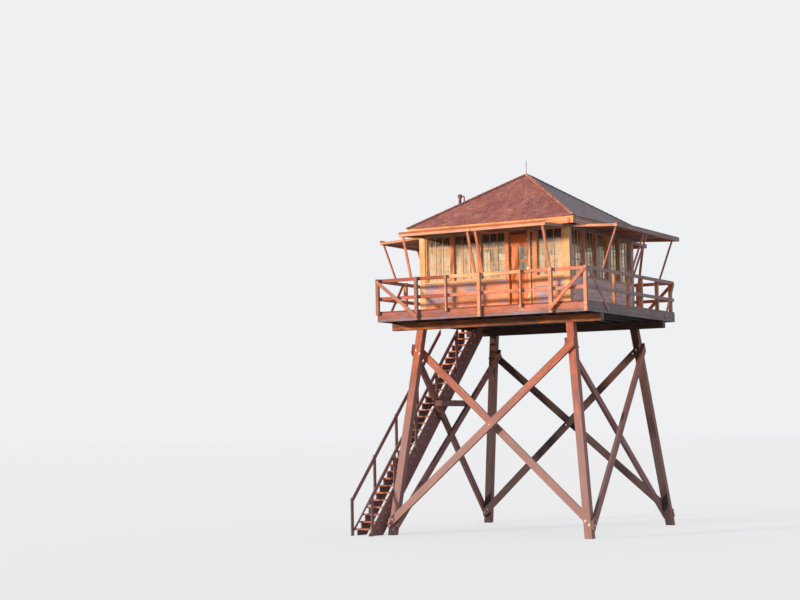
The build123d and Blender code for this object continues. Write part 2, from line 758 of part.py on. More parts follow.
for end, leg_y in (("front", -1), ("back", 1)):
    make_leg(f"leg_{end}_left", -1, leg_y)
    make_leg(f"leg_{end}_right", 1, leg_y)
make_cap_beams()
make_joists()
make_rim()
make_deck()
make_stair()
make_stair_rails()
make_stair_bearer()
make_corner_posts()
for side_name, side_turn in SIDES.items():
    make_braces(side_name, side_turn)
    make_railing(side_name, side_turn)
    make_lower_wall(side_name, side_turn)
    make_window_frame(side_name, side_turn)
    make_shutters(side_name, side_turn)
make_glass()
make_props()
make_door()
make_roof()
make_pipe()

# The origin is the middle of the whole object's footprint, on the ground
boxes = [piece.bounding_box() for piece in pieces]
middle_x = (min(box.min.X for box in boxes) + max(box.max.X for box in boxes)) / 2
middle_y = (min(box.min.Y for box in boxes) + max(box.max.Y for box in boxes)) / 2
shift = Location((-middle_x, -middle_y, 0))
print("tower axis at", shift.position)

os.makedirs("parts", exist_ok=True)
for piece in pieces:
    moved = piece.moved(shift)
    moved.label = piece.label
    export_step(moved, f"parts/{piece.label}.step")
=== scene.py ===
"""Looks of a timber fire lookout: finishes, planks, siding, shingles, window bars and bolts."""

from __future__ import annotations

import logging
import math
import random
from dataclasses import dataclass, field
from enum import Enum

import bpy
from mathutils import Matrix, Vector
from mathutils.geometry import intersect_line_line

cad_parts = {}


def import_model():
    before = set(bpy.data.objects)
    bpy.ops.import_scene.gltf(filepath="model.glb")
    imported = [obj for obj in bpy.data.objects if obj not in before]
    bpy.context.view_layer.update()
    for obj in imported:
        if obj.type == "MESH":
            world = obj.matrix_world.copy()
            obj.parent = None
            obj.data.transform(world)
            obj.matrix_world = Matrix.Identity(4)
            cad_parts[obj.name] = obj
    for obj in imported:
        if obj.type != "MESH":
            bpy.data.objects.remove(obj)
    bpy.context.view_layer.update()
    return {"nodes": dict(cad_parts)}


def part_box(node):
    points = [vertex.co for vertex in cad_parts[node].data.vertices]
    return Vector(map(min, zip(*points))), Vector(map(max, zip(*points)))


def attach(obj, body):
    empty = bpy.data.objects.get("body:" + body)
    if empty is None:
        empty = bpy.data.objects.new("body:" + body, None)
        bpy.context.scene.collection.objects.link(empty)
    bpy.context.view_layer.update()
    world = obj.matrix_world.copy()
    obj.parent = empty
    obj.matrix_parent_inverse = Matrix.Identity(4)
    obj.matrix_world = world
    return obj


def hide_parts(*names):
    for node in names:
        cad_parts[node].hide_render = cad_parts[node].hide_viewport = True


LOG = logging.getLogger("lookout")
BODY = "root"
GRAIN = "grain"
TINT = "tint"
EAST = Vector((1.0, 0.0, 0.0))
NORTH = Vector((0.0, 1.0, 0.0))
UP = Vector((0.0, 0.0, 1.0))
# Room that a board leaves to the next one, in metres.
JOINT = 0.001
# A face that points this squarely in a direction lies on that side of a timber.
SQUARELY = 0.9
Colour = tuple[float, float, float, float]
Tint = tuple[float, float, float]
Span = tuple[float, float]
# Front and back edge of the stair hatch along Y, and its inner edge along X.
Hatch = tuple[float, float, float]
Socket = bpy.types.NodeSocket
PLAIN: Tint = (1.0, 1.0, 1.0)


class Side(Enum):
    """A side of the tower, with its turn about the tower axis in degrees."""

    FRONT = 0
    RIGHT = 90
    BACK = 180
    LEFT = 270

    @property
    def along(self) -> Vector:
        """Direction from left to right on this side, seen from outside."""
        angle = math.radians(self.value)
        return Vector((math.cos(angle), math.sin(angle), 0.0))

    @property
    def out(self) -> Vector:
        """Direction that this side faces."""
        angle = math.radians(self.value)
        return Vector((math.sin(angle), -math.cos(angle), 0.0))

    @property
    def word(self) -> str:
        """Name of the side as the nodes have it."""
        return self.name.lower()

    @property
    def laps(self) -> bool:
        """Whether the boards of this side run out over the ends of its neighbours' boards."""
        return self in (Side.FRONT, Side.BACK)


class Grain(Enum):
    """Direction that the grain of a board runs in, on its own side of the tower."""

    ALONG = "along"
    OUT = "out"
    UP = "up"


@dataclass(frozen=True)
class Mottle:
    """Uneven colour of a surface, as noise that takes it from one look to another.

    Attributes:
        scale: Repeats per metre along each axis.
        levels: Value of the noise where the change starts, and where it is full.
        detail: Number of finer layers.
        rough: Strength of the finer layers.
    """

    scale: tuple[float, float, float]
    levels: Span
    detail: float = 5.0
    rough: float = 0.6


class Graph:
    """Nodes of one material, added and joined by short calls."""

    def __init__(self, name: str) -> None:
        """Start a material with its principled shader.

        Args:
            name: Name of the material.
        """
        self.material = bpy.data.materials.new(name)
        self.material.use_nodes = True
        self.nodes = self.material.node_tree.nodes
        self.links = self.material.node_tree.links
        self.shader = self.nodes["Principled BSDF"]

    def add(self, kind: str, inputs: dict[str | int, object], **settings: object) -> bpy.types.Node:
        """Add a node.

        Args:
            kind: Kind of shader node, without its prefix.
            inputs: A socket to join or a value to set, by the input's name or number.
            settings: Properties of the node.

        Returns:
            The new node.
        """
        node = self.nodes.new(f"ShaderNode{kind}")
        for name, value in settings.items():
            setattr(node, name, value)
        for name, value in inputs.items():
            self.feed(node.inputs[name], value)
        return node

    def feed(self, socket: Socket, value: object) -> None:
        """Join a socket to another one, or set its value.

        Args:
            socket: The input to feed.
            value: Another node's output, or a value.
        """
        if isinstance(value, bpy.types.NodeSocket):
            self.links.new(value, socket)
        else:
            socket.default_value = value

    def surface(self, values: dict[str, object]) -> bpy.types.Material:
        """Feed the principled shader.

        Args:
            values: A socket to join or a value to set, by the input's name.

        Returns:
            The material.
        """
        for name, value in values.items():
            self.feed(self.shader.inputs[name], value)
        return self.material

    def mix(self, factor: object, first: object, second: object, blend: str = "MIX") -> Socket:
        """Mix two colours.

        Args:
            factor: Share of the second colour, a socket or a number.
            first: First colour, a socket or a value.
            second: Second colour, a socket or a value.
            blend: How the second colour goes over the first.

        Returns:
            The mixed colour's socket.
        """
        node = self.nodes.new("ShaderNodeMix")
        node.data_type = "RGBA"
        node.blend_type = blend
        colours = [socket for socket in node.inputs if socket.type == "RGBA"]
        self.feed(node.inputs[0], factor)
        self.feed(colours[0], first)
        self.feed(colours[1], second)
        return next(socket for socket in node.outputs if socket.type == "RGBA")

    def maths(self, operation: str, first: Socket, second: Socket) -> Socket:
        """Give the result of one sum on two values."""
        return self.add("Math", {0: first, 1: second}, operation=operation).outputs["Value"]

    def noise(self, place: Socket, mottle: Mottle) -> Socket:
        """Add noise that is stretched by a scale along each axis.

        Args:
            place: Coordinates.
            mottle: Scale and detail of the noise.

        Returns:
            The noise's value.
        """
        stretched = self.add("Mapping", {"Vector": place, "Scale": mottle.scale}).outputs["Vector"]
        return self.add("TexNoise", {
            "Vector": stretched, "Scale": 1.0, "Detail": mottle.detail, "Roughness": mottle.rough,
        }).outputs["Fac"]

    def span(self, value: Socket, levels: Span, start: float = 0.0, end: float = 1.0) -> Socket:
        """Map a value from one range to another, held at its ends.

        Args:
            value: The value.
            levels: Values that give the start and the end.
            start: Result at and below the first level.
            end: Result at and above the second level.

        Returns:
            The mapped value's socket.
        """
        return self.add("MapRange", {
            "Value": value, "From Min": levels[0], "From Max": levels[1], "To Min": start, "To Max": end,
        }).outputs["Result"]

    def place(self) -> Socket:
        """Give the place on the object."""
        return self.add("TexCoord", {}).outputs["Object"]

    def normal(self) -> Socket:
        """Give the direction that the surface faces."""
        return self.add("NewGeometry", {}).outputs["Normal"]

    def rise(self, vector: Socket) -> Socket:
        """Give a vector's share along Z."""
        return self.add("SeparateXYZ", {"Vector": vector}).outputs["Z"]

    def shade_side(self, normal: Socket) -> Socket:
        """Give how squarely a surface faces along X, the side that the finishes paint in shade."""
        return self.add("VectorMath", {0: normal, 1: EAST}, operation="DOT_PRODUCT").outputs["Value"]

    def relief(self, height: Socket, strength: float, depth: float) -> Socket:
        """Give the normal of a surface that follows a height."""
        bump = self.add("Bump", {"Strength": strength, "Distance": depth, "Height": height})
        return bump.outputs["Normal"]


@dataclass(frozen=True)
class WoodFinish:
    """Sawn softwood or worn paint on it, with the grain along each board.

    Attributes:
        light: Colour of the raised grain.
        dark: Colour between the grain.
        faded: Colour of the patches that sun and rain have bleached; on the wall it is partly painted shade.
        shaded: Painted shade colour that the faces along X grey to, on the side away from the lamp.
        fade: Share of the surface that has faded, from 0 to 1.
        greyed: How far the faces along X take the painted shade colour, from 0 to 1.
        depth: Depth of the grain in metres.
        low_grey: How far the lower part of the tower greys, from 0 to 1, part weathering and part painted
            shade.
        low_levels: Heights above the ground where that greying is full, and where it ends.
        worn: How far whole areas across several boards have lost their colour, from 0 to 1; on the wall
            these areas are partly painted shade.
        under: How far the faces that point down darken to the underside colour, as painted shade, from 0 to
            1.
        weather: Share of a face's direction along X where the painted shade starts, and where it is full.
        bleach: Levels of the patches where a surface that hasn't faded would bleach.
        bleach_shift: How far full fading lowers those levels.
        grey_gap: Share of the painted shade colour's light that is left between the grain.
        downward: Share of a face's direction along Z where that painted shade is full, and where it ends.
    """

    name: str
    light: Colour
    dark: Colour
    faded: Colour
    shaded: Colour = (0.30, 0.30, 0.35, 1.0)
    fade: float = 0.35
    greyed: float = 0.8
    roughness: float = 0.78
    depth: float = 0.003
    low_grey: float = 0.0
    low_levels: Span = (2.4, 4.6)
    worn: float = 0.0
    under: float = 0.0
    weather: Span = (0.45, 0.95)
    fibre: Mottle = Mottle((1.7, 38.0, 38.0), (0.34, 0.64), 5.0, 0.62)
    fine: Mottle = Mottle((9.0, 240.0, 240.0), (0.42, 0.6), 2.0)
    fine_strength: float = 0.3
    knots: Mottle = Mottle((1.5, 6.0, 6.0), (0.05, 0.13))
    knot_strength: float = 0.75
    patches: Mottle = Mottle((1.3, 7.0, 7.0), (0.35, 0.7), 6.0, 0.72)
    bleach: Span = (0.66, 0.79)
    bleach_shift: float = 0.3
    bleach_strength: float = 0.85
    areas: Mottle = Mottle((1.5, 1.5, 3.2), (0.47, 0.57), 5.0, 0.62)
    grime: Mottle = Mottle((0.9, 0.9, 1.6), (0.35, 0.66), 5.0, 0.7)
    grimy: Colour = (0.66, 0.64, 0.66, 1.0)
    clean: Colour = (1.08, 1.08, 1.05, 1.0)
    grey_gap: float = 0.55
    downward: Span = (-0.9, -0.5)
    # Near-black painted shade of the faces that point down.
    underside: Colour = (0.012, 0.009, 0.012, 1.0)
    smoother: float = 0.12
    rougher: float = 0.1
    bump: float = 0.6

    def board_place(self, graph: Graph, place: Socket, grain: Vector | None) -> Socket:
        """Give the place on a board, with its first axis along the grain.

        Args:
            graph: The material's nodes.
            place: Place on the object.
            grain: Direction of the grain, or None where each board carries its own.

        Returns:
            The place's socket.
        """
        if grain is None:
            return graph.add("Attribute", {}, attribute_name=GRAIN).outputs["Vector"]
        turn = grain.rotation_difference(EAST).to_euler()
        return graph.add("Mapping", {"Vector": place, "Rotation": turn}).outputs["Vector"]

    def sawn(self, graph: Graph, board: Socket, fibre: Socket, fine: Socket) -> Socket:
        """Give the colour of the fresh wood or paint, with its grain and knots.

        Args:
            graph: The material's nodes.
            board: Place on the board.
            fibre: The grain.
            fine: The finest grain.

        Returns:
            The colour's socket.
        """
        colour = graph.mix(graph.span(fibre, self.fibre.levels), self.dark, self.light)
        colour = graph.mix(graph.span(fine, self.fine.levels, self.fine_strength, 0.0), colour, self.dark)
        place = graph.add("Mapping", {"Vector": board, "Scale": self.knots.scale}).outputs["Vector"]
        knots = graph.add("TexVoronoi", {"Vector": place, "Scale": 1.0}).outputs["Distance"]
        return graph.mix(graph.span(knots, self.knots.levels, self.knot_strength, 0.0), colour, self.dark)

    def bleached(self, graph: Graph, place: Socket, patches: Socket, colour: Socket) -> Socket:
        """Bleach a colour in patches and worn areas, which on the wall are partly painted shade, dirty it,
        and grey it low on the tower, part weathering and part painted shade.

        Args:
            graph: The material's nodes.
            place: Place on the object.
            patches: The bleached patches.
            colour: The colour.

        Returns:
            The new colour's socket.
        """
        shift = self.bleach_shift * self.fade
        levels = (self.bleach[0] - shift, self.bleach[1] - shift)
        colour = graph.mix(graph.span(patches, levels, 0.0, self.bleach_strength), colour, self.faded)
        # Worn areas, which on the wall are partly painted shade.
        if self.worn:
            areas = graph.span(graph.noise(place, self.areas), self.areas.levels, 0.0, self.worn)
            colour = graph.mix(areas, colour, self.faded)
        dirt = graph.span(graph.noise(place, self.grime), self.grime.levels)
        colour = graph.mix(1.0, colour, graph.mix(dirt, self.grimy, self.clean), "MULTIPLY")
        # Part weathering and part painted shade: the lower part of the tower greys.
        if self.low_grey:
            low = graph.span(graph.rise(place), self.low_levels, self.low_grey, 0.0)
            colour = graph.mix(low, colour, self.faded)
        return colour

    def weathered(self, graph: Graph, fibre: Socket, colour: Socket) -> Socket:
        """Paint shade on a colour: grey on the faces along X, and dark on the faces that point down.

        Args:
            graph: The material's nodes.
            fibre: The grain.
            colour: The colour.

        Returns:
            The new colour's socket.
        """
        # Painted shade on the side along X, away from the lamp, with the grain still showing through it.
        normal = graph.normal()
        between = tuple(self.grey_gap * share for share in self.shaded[:3]) + (1.0,)
        grey = graph.mix(graph.span(fibre, self.fibre.levels), between, self.shaded)
        share = graph.span(graph.shade_side(normal), self.weather, 0.0, self.greyed)
        colour = graph.mix(share, colour, grey)
        # Painted shade under things: faces that point down darken.
        if self.under:
            share = graph.span(graph.rise(normal), self.downward, self.under, 0.0)
            colour = graph.mix(share, colour, self.underside)
        return colour

    def build(self, grain: Vector | None = None) -> bpy.types.Material:
        """Make the material.

        Args:
            grain: Direction of the grain in the object's frame, or None where each board carries its own.

        Returns:
            The new material.
        """
        graph = Graph(self.name)
        place = graph.place()
        board = self.board_place(graph, place, grain)
        fibre = graph.noise(board, self.fibre)
        fine = graph.noise(board, self.fine)
        patches = graph.noise(board, self.patches)
        colour = self.bleached(graph, place, patches, self.sawn(graph, board, fibre, fine))
        if grain is None:
            tint = graph.add("Attribute", {}, attribute_name=TINT).outputs["Color"]
            colour = graph.mix(1.0, colour, tint, "MULTIPLY")
        least, most = self.roughness - self.smoother, min(self.roughness + self.rougher, 1.0)
        return graph.surface({
            "Base Color": self.weathered(graph, fibre, colour),
            "Roughness": graph.span(patches, self.patches.levels, least, most),
            "Normal": graph.relief(graph.maths("ADD", fibre, fine), self.bump, self.depth),
        })


@dataclass(frozen=True)
class MetalFinish:
    """Dull weathered metal, such as bolt heads, hinges and the stovepipe.

    Attributes:
        stain: Colour of the rust or soot on it.
        blotches: The stains.
        dull_levels: Levels of the stains where the metal goes from dull to clean.
        duller: How much rougher the stained metal is.
        pits: Small pits all over.
    """

    name: str
    colour: Colour
    stain: Colour
    roughness: float = 0.55
    metallic: float = 0.6
    blotches: Mottle = Mottle((16.0, 16.0, 11.0), (0.42, 0.6), 6.0, 0.65)
    dull_levels: Span = (0.4, 0.62)
    duller: float = 0.2
    pits: Mottle = Mottle((150.0, 150.0, 150.0), (0.0, 1.0), 2.0)
    pit_depth: float = 0.001
    bump: float = 0.3

    def build(self) -> bpy.types.Material:
        """Make the material.

        Returns:
            The new material.
        """
        graph = Graph(self.name)
        place = graph.place()
        blotches = graph.noise(place, self.blotches)
        return graph.surface({
            "Metallic": self.metallic,
            "Base Color": graph.mix(graph.span(blotches, self.blotches.levels), self.stain, self.colour),
            "Roughness": graph.span(blotches, self.dull_levels, self.roughness + self.duller,
                                    self.roughness),
            "Normal": graph.relief(graph.noise(place, self.pits), self.bump, self.pit_depth),
        })


@dataclass(frozen=True)
class GlassFinish:
    """Clear window glass with a dust film on its lower panes, coloured partly as painted sheen of the low
    light that the panes catch; the film thins on the top panes, under the shutters, and on the panes along
    X, so that those show as painted shade.

    Attributes:
        dust_and_sheen_cover: Most of the lower panes that the dust and painted sheen cover, from 0 to 1.
        film: Most of the top panes that it covers.
        top_shade_levels: Heights between which the dust and sheen thin out to that film, as painted shade
            under the shutters.
        streaks: Streaks that run down the panes.
        streak_least: Share of the dust that is left between the streaks.
        weather: Share of a pane's direction along X where the dust and sheen lessen, as painted shade, and
            where they are least.
        shaded: Share of the dust and sheen left on the panes along X, the side in shade.
    """

    name: str = "window_glass"
    colour: Colour = (1.0, 0.91, 0.74, 1.0)
    # Colour of the dust, partly painted sheen of the low light on the panes.
    dust_and_sheen: Colour = (1.0, 0.78, 0.46, 1.0)
    dust_and_sheen_cover: float = 0.52
    film: float = 0.015
    top_shade_levels: Span = (7.46, 7.52)
    streaks: Mottle = Mottle((6.0, 6.0, 0.9), (0.36, 0.6), 5.0, 0.7)
    streak_least: float = 0.25
    weather: Span = (0.3, 0.9)
    shaded: float = 0.2
    roughness: float = 0.02
    refraction: float = 1.45

    def build(self) -> bpy.types.Material:
        """Make the material.

        Returns:
            The new material.
        """
        graph = Graph(self.name)
        place = graph.place()
        # Painted shade: the film thins on the top panes and on the panes along X.
        lower = graph.span(graph.rise(place), self.top_shade_levels, self.dust_and_sheen_cover, self.film)
        streaks = graph.span(graph.noise(place, self.streaks), self.streaks.levels, self.streak_least, 1.0)
        away = graph.span(graph.shade_side(graph.normal()), self.weather, 1.0, self.shaded)
        cover = graph.maths("MULTIPLY", graph.maths("MULTIPLY", lower, streaks), away)
        return graph.surface({
            "IOR": self.refraction,
            "Roughness": self.roughness,
            "Base Color": graph.mix(cover, self.colour, self.dust_and_sheen),
            "Transmission Weight": graph.span(cover, (0.0, 1.0), 1.0, 0.0),
        })


class Finishes:
    """Every finish on the lookout."""

    frame = WoodFinish(
        "frame_timber", (0.6, 0.2, 0.11, 1), (0.26, 0.08, 0.045, 1), (0.24, 0.2, 0.21, 1),
        (0.48, 0.235, 0.225, 1), fade=0.25, low_grey=0.75,
    )
    beam = WoodFinish(
        "beam_timber", (0.62, 0.2, 0.055, 1), (0.16, 0.045, 0.015, 1), (0.1, 0.05, 0.035, 1),
        (0.12, 0.1, 0.1, 1), fade=0.45, worn=0.7, under=0.6,
    )
    joist = WoodFinish(
        "joist_timber", (0.05, 0.034, 0.032, 1), (0.02, 0.014, 0.015, 1), (0.06, 0.05, 0.05, 1),
        (0.04, 0.035, 0.04, 1), under=0.7,
    )
    deck = WoodFinish(
        "deck_timber", (0.78, 0.27, 0.14, 1), (0.42, 0.12, 0.06, 1), (0.5, 0.36, 0.36, 1),
        (0.26, 0.25, 0.28, 1), fade=0.4, worn=0.35, under=0.9,
    )
    rail = WoodFinish(
        "rail_timber", (0.95, 0.38, 0.21, 1), (0.62, 0.19, 0.1, 1), (0.76, 0.5, 0.46, 1),
        (0.36, 0.33, 0.37, 1), fade=0.3,
    )
    # The wall's lilac faded colour and worn areas are partly painted shade, for the railing's shadows on it.
    wall = WoodFinish(
        "wall_paint", (0.98, 0.45, 0.21, 1), (0.8, 0.29, 0.12, 1), (0.54, 0.4, 0.5, 1),
        (1.0, 0.86, 0.91, 1), fade=0.4, greyed=0.95, worn=0.9, roughness=0.68, depth=0.0015,
    )
    trim = WoodFinish(
        "trim_paint", (1.0, 0.6, 0.29, 1), (0.86, 0.41, 0.17, 1), (0.88, 0.56, 0.4, 1),
        (0.56, 0.5, 0.55, 1), fade=0.2, roughness=0.66, depth=0.0015,
    )
    door = WoodFinish(
        "door_stain", (0.95, 0.28, 0.065, 1), (0.76, 0.18, 0.035, 1), (0.85, 0.32, 0.14, 1),
        fade=0.15, roughness=0.6, depth=0.0015,
    )
    shutter = WoodFinish(
        "shutter_paint", (0.92, 0.43, 0.25, 1), (0.6, 0.23, 0.14, 1), (0.7, 0.46, 0.4, 1),
        (0.3, 0.28, 0.33, 1), fade=0.35, depth=0.002, under=0.35,
    )
    # The shingles' slope along X greys to painted shade.
    shingle = WoodFinish(
        "shingles", (0.55, 0.2, 0.17, 1), (0.2, 0.07, 0.068, 1), (0.56, 0.33, 0.32, 1),
        (0.4, 0.36, 0.4, 1), fade=0.35, greyed=0.9, roughness=0.85, weather=(0.2, 0.42),
    )
    inside = WoodFinish(
        "inside_boards", (0.09, 0.045, 0.026, 1), (0.05, 0.024, 0.016, 1), (0.11, 0.065, 0.04, 1),
        fade=0.2, greyed=0.0,
    )
    bolt = MetalFinish("bolt_steel", (0.78, 0.7, 0.62, 1), (0.42, 0.2, 0.11, 1), 0.5, 0.4)
    pipe = MetalFinish("pipe_steel", (0.34, 0.17, 0.16, 1), (0.16, 0.06, 0.055, 1), 0.6, 0.3)
    glass = GlassFinish()


@dataclass
class Board:
    """One straight board.

    Attributes:
        middle: Middle of the board.
        long: Unit vector along the board and its grain.
        wide: Unit vector across its face.
        size: Length, width and thickness in metres.
        tint: Colour that its own finish is multiplied by.
        ease: Size of its eased edges in metres.
    """

    middle: Vector
    long: Vector
    wide: Vector
    size: tuple[float, float, float]
    tint: Tint = PLAIN
    ease: float = 0.003


@dataclass
class Site:
    """Main places of the lookout, read from the frame, in metres."""

    axis: Vector
    # Half the widths of the cab and the platform, then heights above the ground.
    cab: float
    platform: float
    floor: float
    joist_bottom: float
    # Half of the roof's width, and the heights of its edge and its peak.
    roof: float
    eave: float
    apex: float
    seed: random.Random = field(default_factory=lambda: random.Random(9338))

    @classmethod
    def read(cls) -> Site:
        """Read the places from the frame's boxes.

        Returns:
            The places.
        """
        low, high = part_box("cab_floor")
        middle = (low + high) / 2
        rim_low, rim_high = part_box("rim_board_front")
        roof_low, roof_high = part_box("roof")
        return cls(
            axis=Vector((middle.x, middle.y, 0.0)),
            cab=(high.x - low.x) / 2,
            platform=(rim_high.x - rim_low.x) / 2,
            floor=high.z,
            joist_bottom=rim_low.z,
            roof=(roof_high.x - roof_low.x) / 2,
            eave=roof_low.z,
            apex=roof_high.z,
        )

    def at(self, side: Side, along: float, out: float, height: float) -> Vector:
        """Give a place on a side by its distances along it and from the axis, and its height."""
        return self.axis + side.along * along + side.out * out + UP * height

    def board(self, side: Side, along: Span, out: Span, height: Span, grain: Grain, tint: Tint = PLAIN,
              ease: float = 0.003) -> Board:
        """Give a board that fills a box on a side.

        Args:
            side: The side.
            along: Where the box starts and ends along the side.
            out: Where it starts and ends away from the tower axis.
            height: Where it starts and ends above the deck.
            grain: Direction of the grain.
            tint: Colour that the finish is multiplied by.
            ease: Size of the eased edges.

        Returns:
            The board.
        """
        middle = self.at(side, sum(along) / 2, sum(out) / 2, self.floor + sum(height) / 2)
        spans = (along[1] - along[0], out[1] - out[0], height[1] - height[0])
        if grain is Grain.ALONG:
            return Board(middle, side.along, UP, (spans[0], spans[2], spans[1]), tint, ease)
        if grain is Grain.OUT:
            return Board(middle, side.out, side.along, (spans[1], spans[0], spans[2]), tint, ease)
        return Board(middle, UP, side.along, (spans[2], spans[0], spans[1]), tint, ease)

    def tone(self, spread: float = 0.12, base: Tint = PLAIN) -> Tint:
        """Give a random tint about a base, a little lighter or darker for each board.

        Args:
            spread: Most that a board is lighter or darker.
            base: The tint that it is about.

        Returns:
            The tint.
        """
        value = 1.0 + self.seed.uniform(-spread, spread)
        warmth = self.seed.uniform(-spread, spread) / 4
        return (base[0] * value * (1 + warmth), base[1] * value, base[2] * value * (1 - warmth))


class Pattern(Enum):
    """Shape that a board is copied from."""

    BOARD = "board"
    WEDGE = "wedge"
    BOLT = "bolt"


@dataclass
class Workshop:
    """Models each pattern once, a metre wide, and copies and joins it into pieces."""

    # Width of the board pattern's eased edges.
    reach: float = 0.1
    # Thickness of the shingle pattern's upper end.
    thin_end: float = 0.2
    bolt_sides: int = 10
    washer: float = 0.3
    washer_rim: float = 0.17
    # Rise of each step of the bolt head, and its width as a share of the last one.
    head_steps: tuple[Span, ...] = ((0.45, 1.0), (0.25, 0.62))
    # Distance in metres below which two points of a CAD node are one.
    merge: float = 1e-5
    # Angles in degrees, below which two faces are one and from which an edge is eased.
    flat: float = 1.0
    sharp: float = 40.0

    def __post_init__(self) -> None:
        """Model the patterns."""
        self.patterns = {
            Pattern.BOARD: self.model_board(),
            Pattern.WEDGE: self.model_wedge(),
            Pattern.BOLT: self.model_bolt(),
        }

    def start_block(self) -> bpy.types.Object:
        """Add a cube of one metre, in edit mode.

        Returns:
            The cube.
        """
        deselect()
        bpy.ops.mesh.primitive_cube_add(size=1.0, location=(0.0, 0.0, 0.0))
        block = bpy.context.object
        bpy.ops.object.mode_set(mode="EDIT")
        return block

    def pick_faces(self, block: bpy.types.Object, direction: Vector) -> None:
        """Select only the faces of a block that face a direction.

        Args:
            block: The block, in edit mode.
            direction: The direction.
        """
        bpy.ops.mesh.select_all(action="DESELECT")
        bpy.ops.object.mode_set(mode="OBJECT")
        for face in block.data.polygons:
            face.select = face.normal.dot(direction) > SQUARELY
        bpy.ops.object.mode_set(mode="EDIT")

    def take_mesh(self, block: bpy.types.Object) -> bpy.types.Mesh:
        """Leave edit mode and keep the mesh alone.

        Args:
            block: The block.

        Returns:
            Its mesh.
        """
        bpy.ops.object.mode_set(mode="OBJECT")
        mesh = block.data
        bpy.data.objects.remove(block)
        return mesh

    def model_board(self) -> bpy.types.Mesh:
        """Model a board with eased edges.

        Returns:
            The mesh.
        """
        block = self.start_block()
        bpy.ops.mesh.select_all(action="SELECT")
        bpy.ops.mesh.bevel(offset=self.reach, segments=1)
        return self.take_mesh(block)

    def model_wedge(self) -> bpy.types.Mesh:
        """Model a sawn shingle, thick at its butt and thin at its upper end.

        Returns:
            The mesh.
        """
        block = self.start_block()
        bpy.ops.mesh.select_all(action="DESELECT")
        bpy.ops.object.mode_set(mode="OBJECT")
        for vertex in block.data.vertices:
            vertex.select = vertex.co.x > 0 and vertex.co.z > 0
        bpy.ops.object.mode_set(mode="EDIT")
        bpy.ops.transform.translate(value=(0.0, 0.0, self.thin_end - 1.0))
        return self.take_mesh(block)

    def model_bolt(self) -> bpy.types.Mesh:
        """Model a washer with a domed bolt head on it.

        Returns:
            The mesh.
        """
        deselect()
        bpy.ops.mesh.primitive_cylinder_add(vertices=self.bolt_sides, radius=0.5, depth=self.washer,
                                            location=(0.0, 0.0, 0.0))
        block = bpy.context.object
        bpy.ops.object.mode_set(mode="EDIT")
        bpy.ops.mesh.select_all(action="SELECT")
        bpy.ops.transform.translate(value=(0.0, 0.0, (self.washer - 1.0) / 2))
        self.pick_faces(block, UP)
        bpy.ops.mesh.inset(thickness=self.washer_rim)
        for rise, narrowing in self.head_steps:
            bpy.ops.mesh.extrude_region_move(TRANSFORM_OT_translate={"value": (0.0, 0.0, rise)})
            bpy.ops.transform.resize(value=(narrowing, narrowing, 1.0), center_override=(0.0, 0.0, 0.0))
        return self.take_mesh(block)

    def cut(self, board: Board, pattern: Pattern) -> bpy.types.Object:
        """Copy a pattern to a board's size and place, its grain and tint with it.

        Args:
            board: The board.
            pattern: Shape to copy.

        Returns:
            An object of its own mesh.
        """
        mesh = self.patterns[pattern].copy()
        thick = board.long.cross(board.wide)
        shift = grain_shift(board.middle)
        reach = self.reach if pattern is Pattern.BOARD else 0.0
        grain, tint = add_layers(mesh)
        for index, vertex in enumerate(mesh.vertices):
            local = Vector(stretch(value, size, board.ease, reach)
                           for value, size in zip(vertex.co, board.size))
            grain.data[index].vector = local + shift
            tint.data[index].color = (*board.tint, 1.0)
            vertex.co = board.middle + board.long * local.x + board.wide * local.y + thick * local.z
        piece = bpy.data.objects.new("board", mesh)
        bpy.context.scene.collection.objects.link(piece)
        return piece

    def join(self, name: str, boards: list[Board], finish: WoodFinish | MetalFinish | GlassFinish, slot: str,
             pattern: Pattern = Pattern.BOARD, replaced: tuple[str, ...] = ()) -> bpy.types.Object:
        """Cut boards and join them into one piece of the lookout.

        Args:
            name: Name of the piece.
            boards: The boards.
            finish: Finish of the piece.
            slot: The record's material slot; not used.
            pattern: Shape that each board is copied from.
            replaced: CAD nodes that the piece stands for.

        Returns:
            The finished piece.
        """
        pieces = [self.cut(board, pattern) for board in boards]
        deselect()
        for piece in pieces:
            piece.select_set(True)
        bpy.context.view_layer.objects.active = pieces[0]
        if len(pieces) > 1:
            bpy.ops.object.join()
        return hand_over(pieces[0], name, finish.build(), replaced)

    def ease(self, node: str, name: str, finish: WoodFinish, slot: str, width: float,
             tints: list[Tint]) -> bpy.types.Object:
        """Make a copy of a CAD node with eased edges and the grain along each of its timbers.

        Args:
            node: Name of the node.
            name: Name of the new piece.
            finish: Finish of the piece.
            slot: The record's material slot; not used.
            width: Width of the eased edges.
            tints: Tints that the timbers take in turn.

        Returns:
            The finished piece.
        """
        source = bpy.data.objects[node]
        piece = bpy.data.objects.new(name, source.data.copy())
        bpy.context.scene.collection.objects.link(piece)
        deselect()
        piece.select_set(True)
        bpy.context.view_layer.objects.active = piece
        bpy.ops.object.mode_set(mode="EDIT")
        bpy.ops.mesh.select_all(action="SELECT")
        bpy.ops.mesh.remove_doubles(threshold=self.merge)
        bpy.ops.mesh.dissolve_limited(angle_limit=math.radians(self.flat))
        bpy.ops.object.mode_set(mode="OBJECT")
        bevel = piece.modifiers.new("ease", "BEVEL")
        bevel.width = width
        bevel.segments = 1
        bevel.limit_method = "ANGLE"
        bevel.angle_limit = math.radians(self.sharp)
        bpy.ops.object.modifier_apply(modifier=bevel.name)
        self.lay_grain(piece.data, tints)
        return hand_over(piece, name, finish.build(), (node,))

